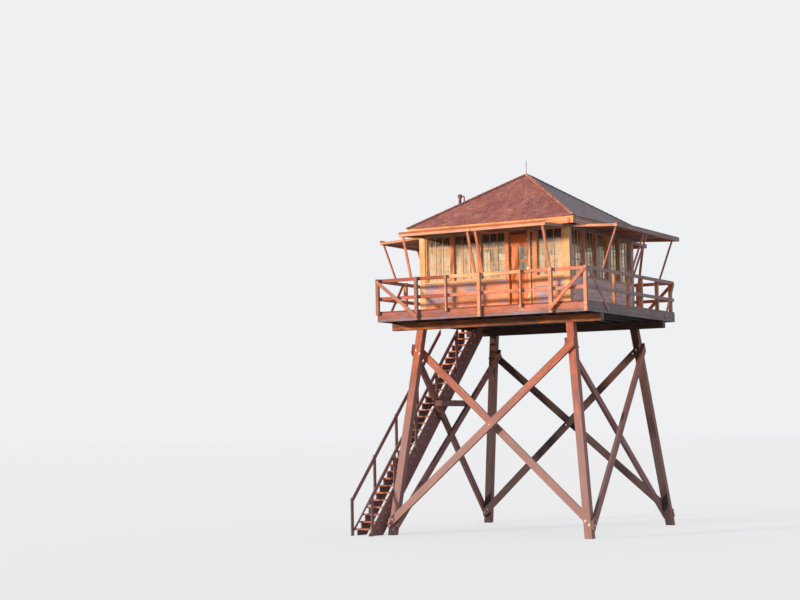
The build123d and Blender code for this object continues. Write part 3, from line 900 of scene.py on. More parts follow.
    def lay_grain(self, mesh: bpy.types.Mesh, tints: list[Tint]) -> None:
        """Lay the grain along each loose timber of a mesh, and tint the timbers in turn.

        Args:
            mesh: The mesh.
            tints: The tints.
        """
        grain, tint = add_layers(mesh)
        for number, timber in enumerate(loose_parts(mesh)):
            inside = set(timber)
            edges = [edge for edge in mesh.edges if edge.vertices[0] in inside]
            ends = max(([mesh.vertices[i].co for i in edge.vertices] for edge in edges),
                       key=lambda pair: (pair[0] - pair[1]).length)
            along = (ends[1] - ends[0]).normalized()
            wide = along.orthogonal().normalized()
            thick = along.cross(wide)
            origin = mesh.vertices[timber[0]].co.copy()
            shift = grain_shift(origin)
            for index in timber:
                away = mesh.vertices[index].co - origin
                grain.data[index].vector = Vector((away.dot(along), away.dot(wide), away.dot(thick))) + shift
                tint.data[index].color = (*tints[number % len(tints)], 1.0)


def deselect() -> None:
    """Leave every object deselected."""
    bpy.ops.object.select_all(action="DESELECT")


def add_layers(mesh: bpy.types.Mesh) -> tuple[bpy.types.Attribute, bpy.types.Attribute]:
    """Add the layers that hold each point's place in its board and its tint.

    Args:
        mesh: The mesh.

    Returns:
        The grain layer and the tint layer, read back once both are there.
    """
    mesh.attributes.new(GRAIN, "FLOAT_VECTOR", "POINT")
    mesh.attributes.new(TINT, "FLOAT_COLOR", "POINT")
    return mesh.attributes[GRAIN], mesh.attributes[TINT]


def stretch(value: float, size: float, ease: float, reach: float) -> float:
    """Move a pattern's coordinate to a board's size, with its eased edge at its own width.

    Args:
        value: Coordinate in the pattern, which is one metre wide.
        size: Size of the board.
        ease: Width of the eased edge.
        reach: Width of the eased edge in the pattern, or 0 where it has none.

    Returns:
        Coordinate in the board.
    """
    if not reach:
        return value * size
    inset = (0.5 - abs(value)) / reach * min(ease, size / 4)
    return math.copysign(size / 2 - inset, value)


def grain_shift(place: Vector) -> Vector:
    """Give a shift of the grain that differs from board to board, from the board's place."""
    x, y, z = place
    return Vector((x * 7.3 + z * 3.1, y * 5.7 + z * 11.3, x * 2.9 - y * 4.1))


def loose_parts(mesh: bpy.types.Mesh) -> list[list[int]]:
    """Group a mesh's vertices into its loose parts.

    Args:
        mesh: The mesh.

    Returns:
        Vertex numbers of each part.
    """
    owner = list(range(len(mesh.vertices)))

    def root(index: int) -> int:
        """Give the vertex that stands for a vertex's part.

        Args:
            index: Number of the vertex.

        Returns:
            Number of the vertex that stands for its part.
        """
        while owner[index] != index:
            owner[index] = owner[owner[index]]
            index = owner[index]
        return index

    for edge in mesh.edges:
        owner[root(edge.vertices[0])] = root(edge.vertices[1])
    parts: dict[int, list[int]] = {}
    for index in range(len(mesh.vertices)):
        parts.setdefault(root(index), []).append(index)
    return list(parts.values())


def long_edge(mesh: bpy.types.Mesh) -> Vector:
    """Give the unit vector along a timber's longest edge."""
    edges = [mesh.vertices[edge.vertices[1]].co - mesh.vertices[edge.vertices[0]].co for edge in mesh.edges]
    return max(edges, key=lambda edge: edge.length).normalized()


def broad_face(mesh: bpy.types.Mesh, direction: Vector) -> bpy.types.MeshPolygon:
    """Find the broadest face of a timber that faces a direction."""
    faces = [face for face in mesh.polygons if face.normal.dot(direction) > SQUARELY]
    return max(faces, key=lambda face: face.area)


def hand_over(piece: bpy.types.Object, name: str, material: bpy.types.Material,
              replaced: tuple[str, ...] = ()) -> bpy.types.Object:
    """Name a finished piece, paint it and tie it to the frame.

    Args:
        piece: The piece.
        name: Its name.
        material: Its material.
        replaced: CAD nodes that it stands for.

    Returns:
        The piece.
    """
    piece.name = name
    paint(piece, material)
    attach(piece, BODY)
    if replaced:
        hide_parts(*replaced)
    LOG.info("%s: %d faces", name, len(piece.data.polygons))
    return piece


def paint(piece: bpy.types.Object, material: bpy.types.Material) -> None:
    """Give a piece one material all over."""
    piece.data.materials.clear()
    piece.data.materials.append(material)


def split_run(start: float, end: float, count: int, gap: float) -> list[Span]:
    """Split a run into a number of equal boards with a gap between them."""
    pitch = (end - start + gap) / count
    return [(start + number * pitch, start + (number + 1) * pitch - gap) for number in range(count)]


@dataclass
class Camera:
    """Camera worked out from the straight edges of the cab, the platform and the roof."""

    site: Site
    # Lens and sensor are in millimetres, places in metres and turns in degrees.
    lens: float = 74.25
    sensor: float = 36.0
    place: tuple[float, float, float] = (18.836, -40.093, 2.786)
    heading: float = 29.663
    pitch: float = 4.406
    roll: float = -1.046
    far: float = 600.0

    def build(self) -> None:
        """Add the camera and make it the scene's own."""
        heading = math.radians(self.heading)
        pitch = math.radians(self.pitch)
        roll = math.radians(self.roll)
        level = Vector((math.cos(heading), math.sin(heading), 0.0))
        ahead = Vector((-math.sin(heading), math.cos(heading), 0.0))
        forward = ahead * math.cos(pitch) + UP * math.sin(pitch)
        upright = level.cross(forward)
        right = level * math.cos(roll) + upright * math.sin(roll)
        up = upright * math.cos(roll) - level * math.sin(roll)
        data = bpy.data.cameras.new("camera")
        data.lens = self.lens
        data.sensor_width = self.sensor
        data.clip_end = self.far
        camera = bpy.data.objects.new("camera", data)
        turn = Matrix((right, up, -forward)).transposed().to_4x4()
        camera.matrix_world = Matrix.Translation(self.site.axis + Vector(self.place)) @ turn
        bpy.context.scene.collection.objects.link(camera)
        bpy.context.scene.camera = camera


@dataclass
class Studio:
    """Plain pale floor and background, a soft low key lamp and an even fill."""

    fill: Colour = (0.93, 0.96, 1.0, 1.0)
    fill_strength: float = 0.6
    key: tuple[float, float, float] = (1.0, 0.79, 0.6)
    key_energy: float = 4.0
    # Turn of the lamp to the left, its height and the width of its disc, in degrees.
    key_left: float = 37.0
    key_height: float = 9.0
    key_width: float = 5.0
    backdrop: Colour = (0.86, 0.87, 0.89, 1.0)
    ground: Colour = (0.22, 0.22, 0.225, 1.0)
    # Share of the background's colour that the floor shows by itself.
    ground_glow: float = 0.7
    ground_roughness: float = 0.95
    floor_size: float = 500.0

    def seen(self, nodes: bpy.types.Nodes, links: bpy.types.NodeLinks) -> Socket:
        """Tell what is seen, straight or in glass, from what only lights other things.

        Args:
            nodes: Nodes of the floor's material or of the world.
            links: Links between them.

        Returns:
            1 for camera, mirror and glass rays, and 0 for the light's own.
        """
        rays = nodes.new("ShaderNodeLightPath")
        total = rays.outputs["Is Camera Ray"]
        for name in ("Is Glossy Ray", "Is Transmission Ray"):
            most = nodes.new("ShaderNodeMath")
            most.operation = "MAXIMUM"
            links.new(total, most.inputs[0])
            links.new(rays.outputs[name], most.inputs[1])
            total = most.outputs[0]
        return total

    def add_floor(self) -> None:
        """Add the floor, which glows a little where it is seen."""
        deselect()
        bpy.ops.mesh.primitive_plane_add(size=self.floor_size, location=(0.0, 0.0, 0.0))
        floor = bpy.context.object
        floor.name = "floor"
        graph = Graph("floor")
        graph.surface({"Base Color": self.ground, "Roughness": self.ground_roughness})
        glow = graph.add("Emission", {"Color": self.backdrop, "Strength": self.ground_glow})
        seen = self.seen(graph.nodes, graph.links)
        lit = graph.add("MixShader", {"Fac": seen, 2: glow.outputs["Emission"]})
        total = graph.add("AddShader", {0: graph.shader.outputs["BSDF"], 1: lit.outputs["Shader"]})
        graph.feed(graph.nodes["Material Output"].inputs["Surface"], total.outputs["Shader"])
        paint(floor, graph.material)

    def light_world(self) -> None:
        """Light the scene from all round, with the background in its own colour."""
        world = bpy.data.worlds.new("world")
        bpy.context.scene.world = world
        world.use_nodes = True
        nodes, links = world.node_tree.nodes, world.node_tree.links
        lamp = nodes["Background"]
        lamp.inputs["Color"].default_value = self.fill
        lamp.inputs["Strength"].default_value = self.fill_strength
        picture = nodes.new("ShaderNodeBackground")
        picture.inputs["Color"].default_value = self.backdrop
        choose = nodes.new("ShaderNodeMixShader")
        links.new(self.seen(nodes, links), choose.inputs["Fac"])
        links.new(lamp.outputs["Background"], choose.inputs[1])
        links.new(picture.outputs["Background"], choose.inputs[2])
        links.new(choose.outputs["Shader"], nodes["World Output"].inputs["Surface"])

    def add_lamp(self) -> None:
        """Add the low lamp in front, to the left."""
        left = math.radians(self.key_left)
        high = math.radians(self.key_height)
        level = Vector((-math.sin(left), -math.cos(left), 0.0))
        towards = level * math.cos(high) + UP * math.sin(high)
        bpy.ops.object.light_add(type="SUN", rotation=towards.to_track_quat("Z", "Y").to_euler())
        lamp = bpy.context.object.data
        lamp.energy = self.key_energy
        lamp.angle = math.radians(self.key_width)
        lamp.color = self.key

    def build(self) -> None:
        """Add the floor, the world and the lamp."""
        self.add_floor()
        self.light_world()
        self.add_lamp()
        bpy.context.scene.view_settings.view_transform = "Standard"


@dataclass
class Tower:
    """Legs, braces, beams, rim and joists under the platform."""

    site: Site
    shop: Workshop
    edge: float = 0.008
    spread: float = 0.06
    # Tints of the legs and braces on each side: painted light on the front, and painted shade on the others,
    # darkest at the back.
    age: dict[str, Tint] = field(default_factory=lambda: {
        "front": (1.2, 1.02, 1.02), "right": (0.7, 0.66, 0.7), "back": (0.2, 0.17, 0.19),
        "left": (0.5, 0.4, 0.42),
    })
    # Tints of the cap beams: painted light on the front one, and painted shade on the back one.
    beam_light_by_side: dict[str, Tint] = field(default_factory=lambda: {
        "front": (1.4, 1.3, 1.2), "back": (0.24, 0.22, 0.3),
    })
    # Height and tint of the narrow board under the rim.
    lower_rim: float = 0.075
    lower_tone: Tint = (0.55, 0.9, 1.6)
    # Joints along the rim, as shares of half the platform, and its boards' tints.
    rim_joints: Span = (-0.307, 0.36)
    rim_tones: tuple[Tint, ...] = ((0.66, 0.66, 0.9), (1.0, 0.92, 0.9), (1.02, 0.96, 0.95))

    def dress(self, nodes: dict[str, bpy.types.Object]) -> None:
        """Ease the timbers' edges and give each its grain.

        Args:
            nodes: The CAD nodes by name.
        """
        for name in nodes:
            if name.startswith(("leg_", "brace_")):
                finish, slot = Finishes.frame, "weathered_timber"
                tone = self.site.tone(self.spread, self.age[name.split("_")[1]])
            elif name.startswith("cap_beam"):
                finish, slot = Finishes.beam, "weathered_timber"
                tone = self.beam_light_by_side[name.split("_")[-1]]
            else:
                continue
            self.shop.ease(name, f"{name}_timber", finish, slot, self.edge, [tone])
        for side in Side:
            node = f"rim_board_{side.word}"
            self.shop.join(f"{node}_timber", self.rim(side, node), Finishes.deck, "framing_timber",
                           replaced=(node,))
        paint(nodes["joists"], Finishes.joist.build(NORTH))

    def rim(self, side: Side, node: str) -> list[Board]:
        """Lay a rim in the place of its node, a narrow board under three wider ones end to end.

        Args:
            side: Side of the tower.
            node: Name of the node.

        Returns:
            The lower board and the upper boards.
        """
        corners = [corner - self.site.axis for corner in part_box(node)]
        along = sorted(corner.dot(side.along) for corner in corners)
        out = sorted(corner.dot(side.out) for corner in corners)
        low, high = (corner.z - self.site.floor for corner in corners)
        split = low + self.lower_rim
        boards = [self.site.board(side, along, out, (low, split), Grain.ALONG, self.lower_tone)]
        joints = (along[0], *(share * self.site.platform for share in self.rim_joints), along[1])
        for start, end, worn in zip(joints, joints[1:], self.rim_tones):
            tint = self.site.tone(self.spread, worn if side is Side.FRONT else PLAIN)
            boards.append(self.site.board(side, (start + JOINT, end - JOINT), out, (split + JOINT, high),
                                          Grain.ALONG, tint))
        return boards


@dataclass
class Deck:
    """Planks of the catwalk, laid along X across the joists."""

    site: Site
    shop: Workshop
    thick: float = 0.038
    gap: float = 0.006
    plank: float = 0.14
    setback: float = 0.004
    # Most that a plank falls short at an end.
    uneven: float = 0.006
    spread: float = 0.16
    # Darker tint of the outermost planks, which draws a dark line along the deck's edge.
    outer_plank_tint: Tint = (0.5, 0.3, 0.34)
    # Decimals that the hatch's edges are read to.
    measure: int = 4

    def lay(self, start: float, end: float, left: float, right: float) -> list[Board]:
        """Lay planks along X between two places along Y.

        Args:
            start: Place along Y of the first edge, from the tower axis.
            end: Place along Y of the last edge.
            left: Left end of the planks along X.
            right: Right end of the planks along X.

        Returns:
            The planks.
        """
        count = round((end - start) / (self.plank + self.gap))
        planks = []
        for low, high in split_run(start, end, count, self.gap):
            shorter = self.site.seed.uniform(0.0, self.uneven)
            outside = max(abs(low), abs(high)) > self.site.platform - 2 * self.setback
            planks.append(self.site.board(
                Side.BACK, (-right + shorter, -left - shorter), (low, high), (-self.thick, 0.0), Grain.ALONG,
                self.site.tone(self.spread, self.outer_plank_tint if outside else PLAIN),
            ))
        return planks

    def build(self) -> None:
        """Lay the planks of the four sides, round the cab and the stair hatch."""
        cab, gap = self.site.cab, self.gap
        edge = self.site.platform - self.setback
        front, back, inner = self.find_hatch()
        runs = {
            "front": ((-edge, -cab, -edge, -gap / 2), (-edge, -cab, gap / 2, edge)),
            "back": ((cab, edge, -edge, -gap / 2), (cab, edge, gap / 2, edge)),
            "right": ((gap - cab, cab - gap, cab, edge),),
            "left": ((gap - cab, front, -edge, -cab), (back, cab - gap, -edge, -cab),
                     (front + gap, back - gap, inner, -cab)),
        }
        for side, areas in runs.items():
            planks = [plank for area in areas for plank in self.lay(*area)]
            self.shop.join(f"catwalk_{side}_planks", planks, Finishes.deck, "deck_boards",
                           replaced=(f"catwalk_{side}",))

    def find_hatch(self) -> Hatch:
        """Find the stair hatch in the left catwalk.

        Returns:
            Front and back edge along Y and inner edge along X, from the tower axis.
        """
        node = bpy.data.objects["catwalk_left"]
        places = [vertex.co - self.site.axis for vertex in node.data.vertices]
        inner = sorted({round(place.x, self.measure) for place in places})
        ends = sorted({round(place.y, self.measure) for place in places})
        return ends[1], ends[-2], inner[-2]


@dataclass
class Railings:
    """Rails, posts and diagonal boards round the catwalk."""

    site: Site
    shop: Workshop
    top: float = 0.846
    middle: float = 0.375
    rail: Span = (0.089, 0.038)
    post: float = 0.089
    short_post: float = 0.045
    short_drop: float = 0.095
    diagonal: Span = (0.089, 0.025)
    diagonal_lift: float = 0.038
    # Places of the posts, as shares of half the platform.
    tall: tuple[float, ...] = (-0.6, 0.01, 0.672)
    short: Span = (-0.307, 0.398)
    right: tuple[float, ...] = (-0.385, -0.06, 0.241, 0.628)
    back: tuple[float, ...] = (-0.656, -0.328, 0.0, 0.328, 0.656)
    left_post: float = 0.536
    post_clear: float = 0.1
    # Upper and lower end of each diagonal board, as such shares.
    slopes: dict[Side, tuple[Span, Span]] = field(default_factory=lambda: {
        Side.FRONT: ((-0.976, -0.6), (0.976, 0.672)),
        Side.RIGHT: ((-0.976, -0.605), (0.976, 0.75)),
        Side.BACK: ((-0.976, -0.656), (0.976, 0.656)),
        Side.LEFT: ((-0.976, -0.656), (0.536, 0.804)),
    })
    top_tones: tuple[Tint, ...] = ((0.62, 0.45, 0.48), (1.3, 1.9, 1.9), (1.05, 1.05, 1.15))
    middle_tones: tuple[Tint, ...] = ((0.62, 0.45, 0.48), (1.05, 1.05, 1.15), (1.05, 1.2, 1.5))
    other_tones: tuple[Tint, ...] = ((1.05, 1.05, 1.15), (0.85, 0.9, 0.95), (1.05, 1.05, 1.15))
    post_tone: Tint = (1.08, 1.3, 1.25)
    # Tint of the older boards at the left of the front.
    dark_tone: Tint = (0.6, 0.72, 0.9)
    old_until: float = -0.5
    rail_spread: float = 0.06
    post_spread: float = 0.08
    # Eased edges of rails, posts and diagonals.
    eases: tuple[float, float, float] = (0.005, 0.006, 0.004)

    def rails(self, side: Side) -> list[Board]:
        """Lay the top and the middle rail of a side, each of three boards.

        Args:
            side: The side.

        Returns:
            The boards.
        """
        site = self.site
        half = site.platform if side.laps else site.platform - self.rail[1]
        out = (site.platform - self.rail[1], site.platform)
        joints = [-half, self.short[0] * site.platform, self.short[1] * site.platform, half]
        boards = []
        for height, tones in ((self.top, self.top_tones), (self.middle, self.middle_tones)):
            tones = tones if side is Side.FRONT else self.other_tones
            for start, end, tone in zip(joints, joints[1:], tones):
                boards.append(site.board(side, (start + JOINT, end - JOINT), out,
                                         (height - self.rail[0], height), Grain.ALONG,
                                         site.tone(self.rail_spread, tone), self.eases[0]))
        return boards

    def post_places(self, side: Side, hatch: Hatch) -> list[float]:
        """Find the places along a side of the posts that stand on the deck.

        Args:
            side: The right, the back or the left side.
            hatch: Edges of the stair hatch.

        Returns:
            The places.
        """
        corner = self.site.platform - self.rail[1] - self.post / 2
        if side is Side.RIGHT:
            return [share * self.site.platform for share in self.right] + [corner]
        if side is Side.BACK:
            return [share * self.site.platform for share in self.back]
        return [-corner, -hatch[1] - self.post_clear, self.post_clear - hatch[0],
                self.left_post * self.site.platform]

    def posts(self, side: Side, hatch: Hatch) -> list[Board]:
        """Set the posts of a side: outside the rails on the front, and on the deck elsewhere.

        Args:
            side: The side.
            hatch: Edges of the stair hatch.

        Returns:
            The posts.
        """
        site = self.site
        foot = site.joist_bottom - site.floor
        if side is Side.FRONT:
            out = (site.platform, site.platform + self.post)
            corner = site.platform - self.post / 2
            places = [(share * site.platform, self.post, foot) for share in self.tall]
            places += [(corner, self.post, foot), (-corner, self.post, -self.short_drop)]
            places += [(share * site.platform, self.short_post, -self.short_drop) for share in self.short]
        else:
            out = (site.platform - self.rail[1] - self.post, site.platform - self.rail[1])
            places = [(place, self.post, 0.0) for place in self.post_places(side, hatch)]
        boards = []
        for place, width, low in places:
            old = side is Side.FRONT and place < self.old_until * site.platform
            tone = site.tone(self.post_spread, self.dark_tone if old else self.post_tone)
            boards.append(site.board(side, (place - width / 2, place + width / 2), out, (low, self.top),
                                     Grain.UP, tone, self.eases[1]))
        return boards

    def diagonal_ends(self, side: Side, depth: float) -> list[tuple[Vector, Vector]]:
        """Find the upper and the lower end of each diagonal board of a side.

        Args:
            side: The side.
            depth: Distance of the ends from the back of the boards.

        Returns:
            The two ends of each board.
        """
        site = self.site
        out = site.platform + (self.post if side is Side.FRONT else 0.0) + depth
        high = site.floor + self.top - self.diagonal[0]
        low = site.floor + (site.joist_bottom - site.floor - self.diagonal_lift) / 2
        return [(site.at(side, upper * site.platform, out, high),
                 site.at(side, lower * site.platform, out, low))
                for upper, lower in self.slopes[side]]

    def diagonals(self, side: Side) -> list[Board]:
        """Set the diagonal boards of a side.

        Args:
            side: The side.

        Returns:
            The boards.
        """
        boards = []
        ends = self.diagonal_ends(side, self.diagonal[1] / 2)
        for (high, low), (upper, _) in zip(ends, self.slopes[side]):
            long = (high - low).normalized()
            size = ((high - low).length + self.diagonal[0], *self.diagonal)
            old = side is Side.FRONT and upper < 0
            tone = self.site.tone(self.post_spread, self.dark_tone if old else PLAIN)
            boards.append(Board((high + low) / 2, long, side.out.cross(long), size, tone, self.eases[2]))
        return boards

    def build(self, hatch: Hatch) -> None:
        """Build the railing of each side.

        Args:
            hatch: Edges of the stair hatch.
        """
        for side in Side:
            boards = self.rails(side) + self.posts(side, hatch) + self.diagonals(side)
            self.shop.join(f"railing_{side.word}_boards", boards, Finishes.rail, "rail_timber",
                           replaced=(f"railing_{side.word}",))


@dataclass
class Cab:
    """Siding, corner boards, sills, casings and window bars of the four walls."""

    site: Site
    shop: Workshop
    wall: float = 0.1
    corner: float = 0.15
    sill: float = 0.755
    head: float = 1.955
    bays: int = 5
    door_bay: int = 3
    mullion: float = 0.08
    sash: float = 0.032
    course: float = 0.119
    lap: float = 0.018
    siding: float = 0.015
    siding_thin: float = 0.8
    siding_spread: float = 0.2
    siding_ease: float = 0.002
    sill_board: float = 0.04
    # Length from which a course has a joint, and the joint's distance from its ends.
    jointed: float = 1.5
    joint_margin: float = 0.3
    shortest: float = 0.05
    corner_board: Span = (0.146, 0.022)
    corner_tones: tuple[Tint, Tint] = ((1.05, 1.12, 1.1), (1.0, 1.04, 1.0))
    # Height of the sill trim, and how far it reaches in and out.
    sill_trim: tuple[float, float, float] = (0.038, 0.01, 0.034)
    sill_tone: Tint = (1.02, 1.15, 1.2)
    sill_ease: float = 0.006
    casing: Span = (0.115, 0.014)
    casing_tone: Tint = (0.88, 0.6, 0.5)
    casing_spread: float = 0.1
    bar: Span = (0.017, 0.028)
    # How far the crossbars lie behind the faces of the upright bars.
    bar_lap: float = 0.002
    bar_spread: float = 0.08
    bar_ease: float = 0.004
    panes: int = 3
    glass_out: float = 0.05
    trim_top: float = 1.93

    def bay_width(self) -> float:
        """Give the width of one window bay, with its share of the mullions."""
        return 2 * (self.site.cab - self.corner) / self.bays

    def bay_middle(self, number: int) -> float:
        """Give the middle of a bay along its wall, the bays counted from the left."""
        return (number - (self.bays - 1) / 2) * self.bay_width()

    def runs(self, side: Side) -> list[Span]:
        """Find the stretches of the lower wall on a side, with the doorway left out of the front.

        Args:
            side: The side.

        Returns:
            Start and end of each stretch.
        """
        edge = self.site.cab - self.corner_board[0]
        if side is not Side.FRONT:
            return [(-edge, edge)]
        half = self.bay_width() / 2 + (self.casing[0] - self.mullion) / 2
        middle = self.bay_middle(self.door_bay)
        return [(-edge, middle - half), (middle + half, edge)]

    def lower_boards(self, side: Side) -> list[Board]:
        """Lap horizontal boards over each other below the sill of one side.

        Args:
            side: The side.

        Returns:
            The boards.
        """
        site = self.site
        top = self.sill - self.sill_board
        courses = round(top / self.course)
        pitch = top / courses
        lean = math.asin(self.siding / (pitch + self.lap))
        wide = UP * math.cos(lean) - side.out * math.sin(lean)
        boards = []
        for number in range(courses):
            height = site.floor + (number + 0.5) * pitch + self.lap / 2
            for start, end in self.runs(side):
                joint = end
                if end - start > self.jointed:
                    joint = site.seed.uniform(start + self.joint_margin, end - self.joint_margin)
                for low, high in ((start, joint), (joint, end)):
                    if high - low < self.shortest:
                        continue
                    middle = site.at(side, (low + high) / 2, site.cab + self.siding, height)
                    size = (high - low - 2 * JOINT, pitch + self.lap, self.siding * self.siding_thin)
                    boards.append(Board(middle, side.along, wide, size, site.tone(self.siding_spread),
                                        self.siding_ease))
        return boards

    def trim_boards(self, side: Side) -> list[Board]:
        """Set the corner boards, sill and casings of one side.

        Args:
            side: The side.

        Returns:
            The boards.
        """
        site = self.site
        width, proud = self.corner_board
        outer = site.cab + (proud if side.laps else 0.0)
        face = (site.cab, site.cab + proud)
        whole = (JOINT, self.trim_top)
        left, right = self.corner_tones
        boards = [
            site.board(side, (-outer, width - site.cab), face, whole, Grain.UP, left),
            site.board(side, (site.cab - width, outer), face, whole, Grain.UP, right),
        ]
        high, deep, proud = self.sill_trim
        for run in self.runs(side):
            boards.append(site.board(side, run, (site.cab - deep, site.cab + proud),
                                     (self.sill - high, self.sill), Grain.ALONG, self.sill_tone,
                                     self.sill_ease))
        width, proud = self.casing
        for number in range(1, self.bays):
            place = self.bay_middle(number) - self.bay_width() / 2
            doorway = side is Side.FRONT and number in (self.door_bay, self.door_bay + 1)
            boards.append(site.board(side, (place - width / 2, place + width / 2),
                                     (site.cab, site.cab + proud),
                                     (JOINT if doorway else self.sill, self.trim_top), Grain.UP,
                                     site.tone(self.casing_spread, self.casing_tone)))
        return boards

    def bars(self, side: Side) -> list[Board]:
        """Set the bars that part each window of a side into its panes.

        Args:
            side: The side.

        Returns:
            The bars.
        """
        site = self.site
        width, depth = self.bar
        half = (self.bay_width() - self.mullion) / 2 - self.sash
        low, high = self.sill + self.sash, self.head - self.sash
        middle_out = site.cab - self.glass_out
        outs = (middle_out - depth / 2, middle_out + depth / 2)
        flat = (outs[0] + self.bar_lap, outs[1] - self.bar_lap)
        boards = []
        for number in range(self.bays):
            if side is Side.FRONT and number == self.door_bay:
                continue
            middle = self.bay_middle(number)
            for part in range(1, self.panes):
                place = middle - half + 2 * half * part / self.panes
                boards.append(site.board(side, (place - width / 2, place + width / 2), outs, (low, high),
                                         Grain.UP, site.tone(self.bar_spread), self.bar_ease))
                height = low + (high - low) * part / self.panes
                boards.append(site.board(side, (middle - half, middle + half), flat,
                                         (height - width / 2, height + width / 2), Grain.ALONG,
                                         site.tone(self.bar_spread), self.bar_ease))
        return boards

    def build(self) -> None:
        """Dress the four walls."""
        for side in Side:
            self.shop.join(f"siding_{side.word}", self.lower_boards(side), Finishes.wall, "painted_boards")
            self.shop.join(f"trim_{side.word}", self.trim_boards(side), Finishes.trim, "painted_boards")
            self.shop.join(f"window_bars_{side.word}", self.bars(side), Finishes.trim, "painted_boards")


@dataclass
class Door:
    """Door leaf, the post beside it and the narrow light beyond, in the door's bay of the front."""

    site: Site
    shop: Workshop
    cab: Cab
    clear: float = 0.003
    leaf_right: float = 0.985
    post_right: float = 1.05
    front: float = 0.035
    thick: float = 0.045
    # How far the panels lie behind the faces of the leaf.
    panel_depth: float = 0.012
    stile: float = 0.045
    bottom_rail: float = 0.2
    top_rail: float = 0.1
    light_low: float = 0.87
    light_high: float = 1.55
    light_rail: float = 0.09
    crossbar: float = 1.17
    bar: float = 0.04
    middle_stile: Span = (0.52, 0.7)
    lower_panel: float = 0.68
    panel_boards: int = 4
    panel_gap: float = 0.002
    # Tint of the top rail, which the eave keeps dark.
    shade: Tint = (0.2, 0.16, 0.2)
    spread: float = 0.1
    post_setback: float = 0.01
    side_light_drop: float = 0.1
    side_rail: float = 0.06
    side_sill: float = 0.04
    side_bars: tuple[float, ...] = (1.05, 1.27, 1.5, 1.75)
    side_bar: float = 0.022
    pane: float = 0.004
    pane_ease: float = 0.0005

    def bay(self) -> Span:
        """Find the doorway, clear of its frame.

        Returns:
            Its left and right edge along the front.
        """
        middle = self.cab.bay_middle(self.cab.door_bay)
        half = (self.cab.bay_width() - self.cab.mullion) / 2
        return middle - half + self.clear, middle + half - self.clear

    def depth(self, setback: float = 0.0) -> Span:
        """Give the back and the front of the leaf, each drawn in by a setback."""
        back = self.site.cab - self.front - self.thick
        return back + setback, back + self.thick - setback

    def part(self, along: Span, height: Span, grain: Grain, depth: Span | None = None) -> Board:
        """Give one board of the door, as thick as the leaf unless it has its own depth."""
        return self.site.board(Side.FRONT, along, depth or self.depth(), height, grain,
                               self.site.tone(self.spread))

    def leaf(self) -> list[Board]:
        """Build the leaf round its pane and its panel.

        Returns:
            The boards.
        """
        left, edge = self.bay()[0], self.leaf_right - self.clear
        top = self.cab.head - self.clear
        inset = self.depth(self.panel_depth)
        inner = (left + self.stile, edge - self.stile)
        light_top = self.light_high + self.light_rail
        boards = [
            self.part((left, left + self.stile), (self.clear, top), Grain.UP),
            self.part((edge - self.stile, edge), (self.clear, top), Grain.UP),
            self.part(inner, (self.clear, self.bottom_rail), Grain.ALONG),
            self.part(inner, (self.lower_panel, self.light_low), Grain.ALONG),
            self.part(inner, (self.light_high, light_top), Grain.ALONG),
            self.part(inner, (top - self.top_rail, top), Grain.ALONG),
            self.part(inner, (light_top, top - self.top_rail), Grain.ALONG, inset),
            self.part(self.middle_stile, (self.light_low, self.light_high), Grain.UP),
            self.part(inner, (self.crossbar - self.bar / 2, self.crossbar + self.bar / 2), Grain.ALONG,
                      inset),
        ]
        boards[5].tint = self.shade
        for run in split_run(*inner, self.panel_boards, self.panel_gap):
            boards.append(self.part(run, (self.bottom_rail, self.lower_panel), Grain.UP, inset))
        return boards

    def side_light(self) -> list[Board]:
        """Build the post beside the leaf and the frame of the narrow light.

        Returns:
            The boards.
        """
        cab = self.cab
        inset = self.depth(self.panel_depth)
        run = (self.post_right, self.bay()[1])
        top = cab.head - self.clear
        low = self.light_low - self.side_light_drop
        post = (self.leaf_right + self.clear, self.post_right)
        boards = [
            self.part(post, (self.clear, top), Grain.UP,
                      (self.site.cab - cab.wall, self.site.cab - self.post_setback)),
            self.part(run, (self.clear, low), Grain.UP, inset),
            self.part(run, (low, low + self.side_sill), Grain.ALONG),
            self.part(run, (top - self.side_rail, top), Grain.ALONG),
        ]
        for height in self.side_bars:
            span = (height - self.side_bar / 2, height + self.side_bar / 2)
            boards.append(self.part(run, span, Grain.ALONG, inset))
        return boards

    def glass(self) -> list[Board]:
        """Cut the panes of the leaf and of the narrow light.

        Returns:
            The panes.
        """
        left, right = self.bay()
        depth = self.depth((self.thick - self.pane) / 2)
        light = (self.light_low, self.light_high)
        low = self.light_low - self.side_light_drop + self.side_sill
        top = self.cab.head - self.clear - self.side_rail
        panes = [
            self.part((left + self.stile, self.middle_stile[0]), light, Grain.UP, depth),
            self.part((self.middle_stile[1], self.leaf_right - self.clear - self.stile), light, Grain.UP,
                      depth),
            self.part((self.post_right, right), (low, top), Grain.UP, depth),
        ]
        for pane in panes:
            pane.ease = self.pane_ease
        return panes

    def build(self) -> None:
        """Build the leaf, the post with the narrow light, and the panes."""
        self.shop.join("door_leaf", self.leaf(), Finishes.door, "painted_boards", replaced=("door",))
        self.shop.join("door_side_light", self.side_light(), Finishes.trim, "painted_boards")
        self.shop.join("door_panes", self.glass(), Finishes.glass, "window_glass", replaced=("door_glass",))


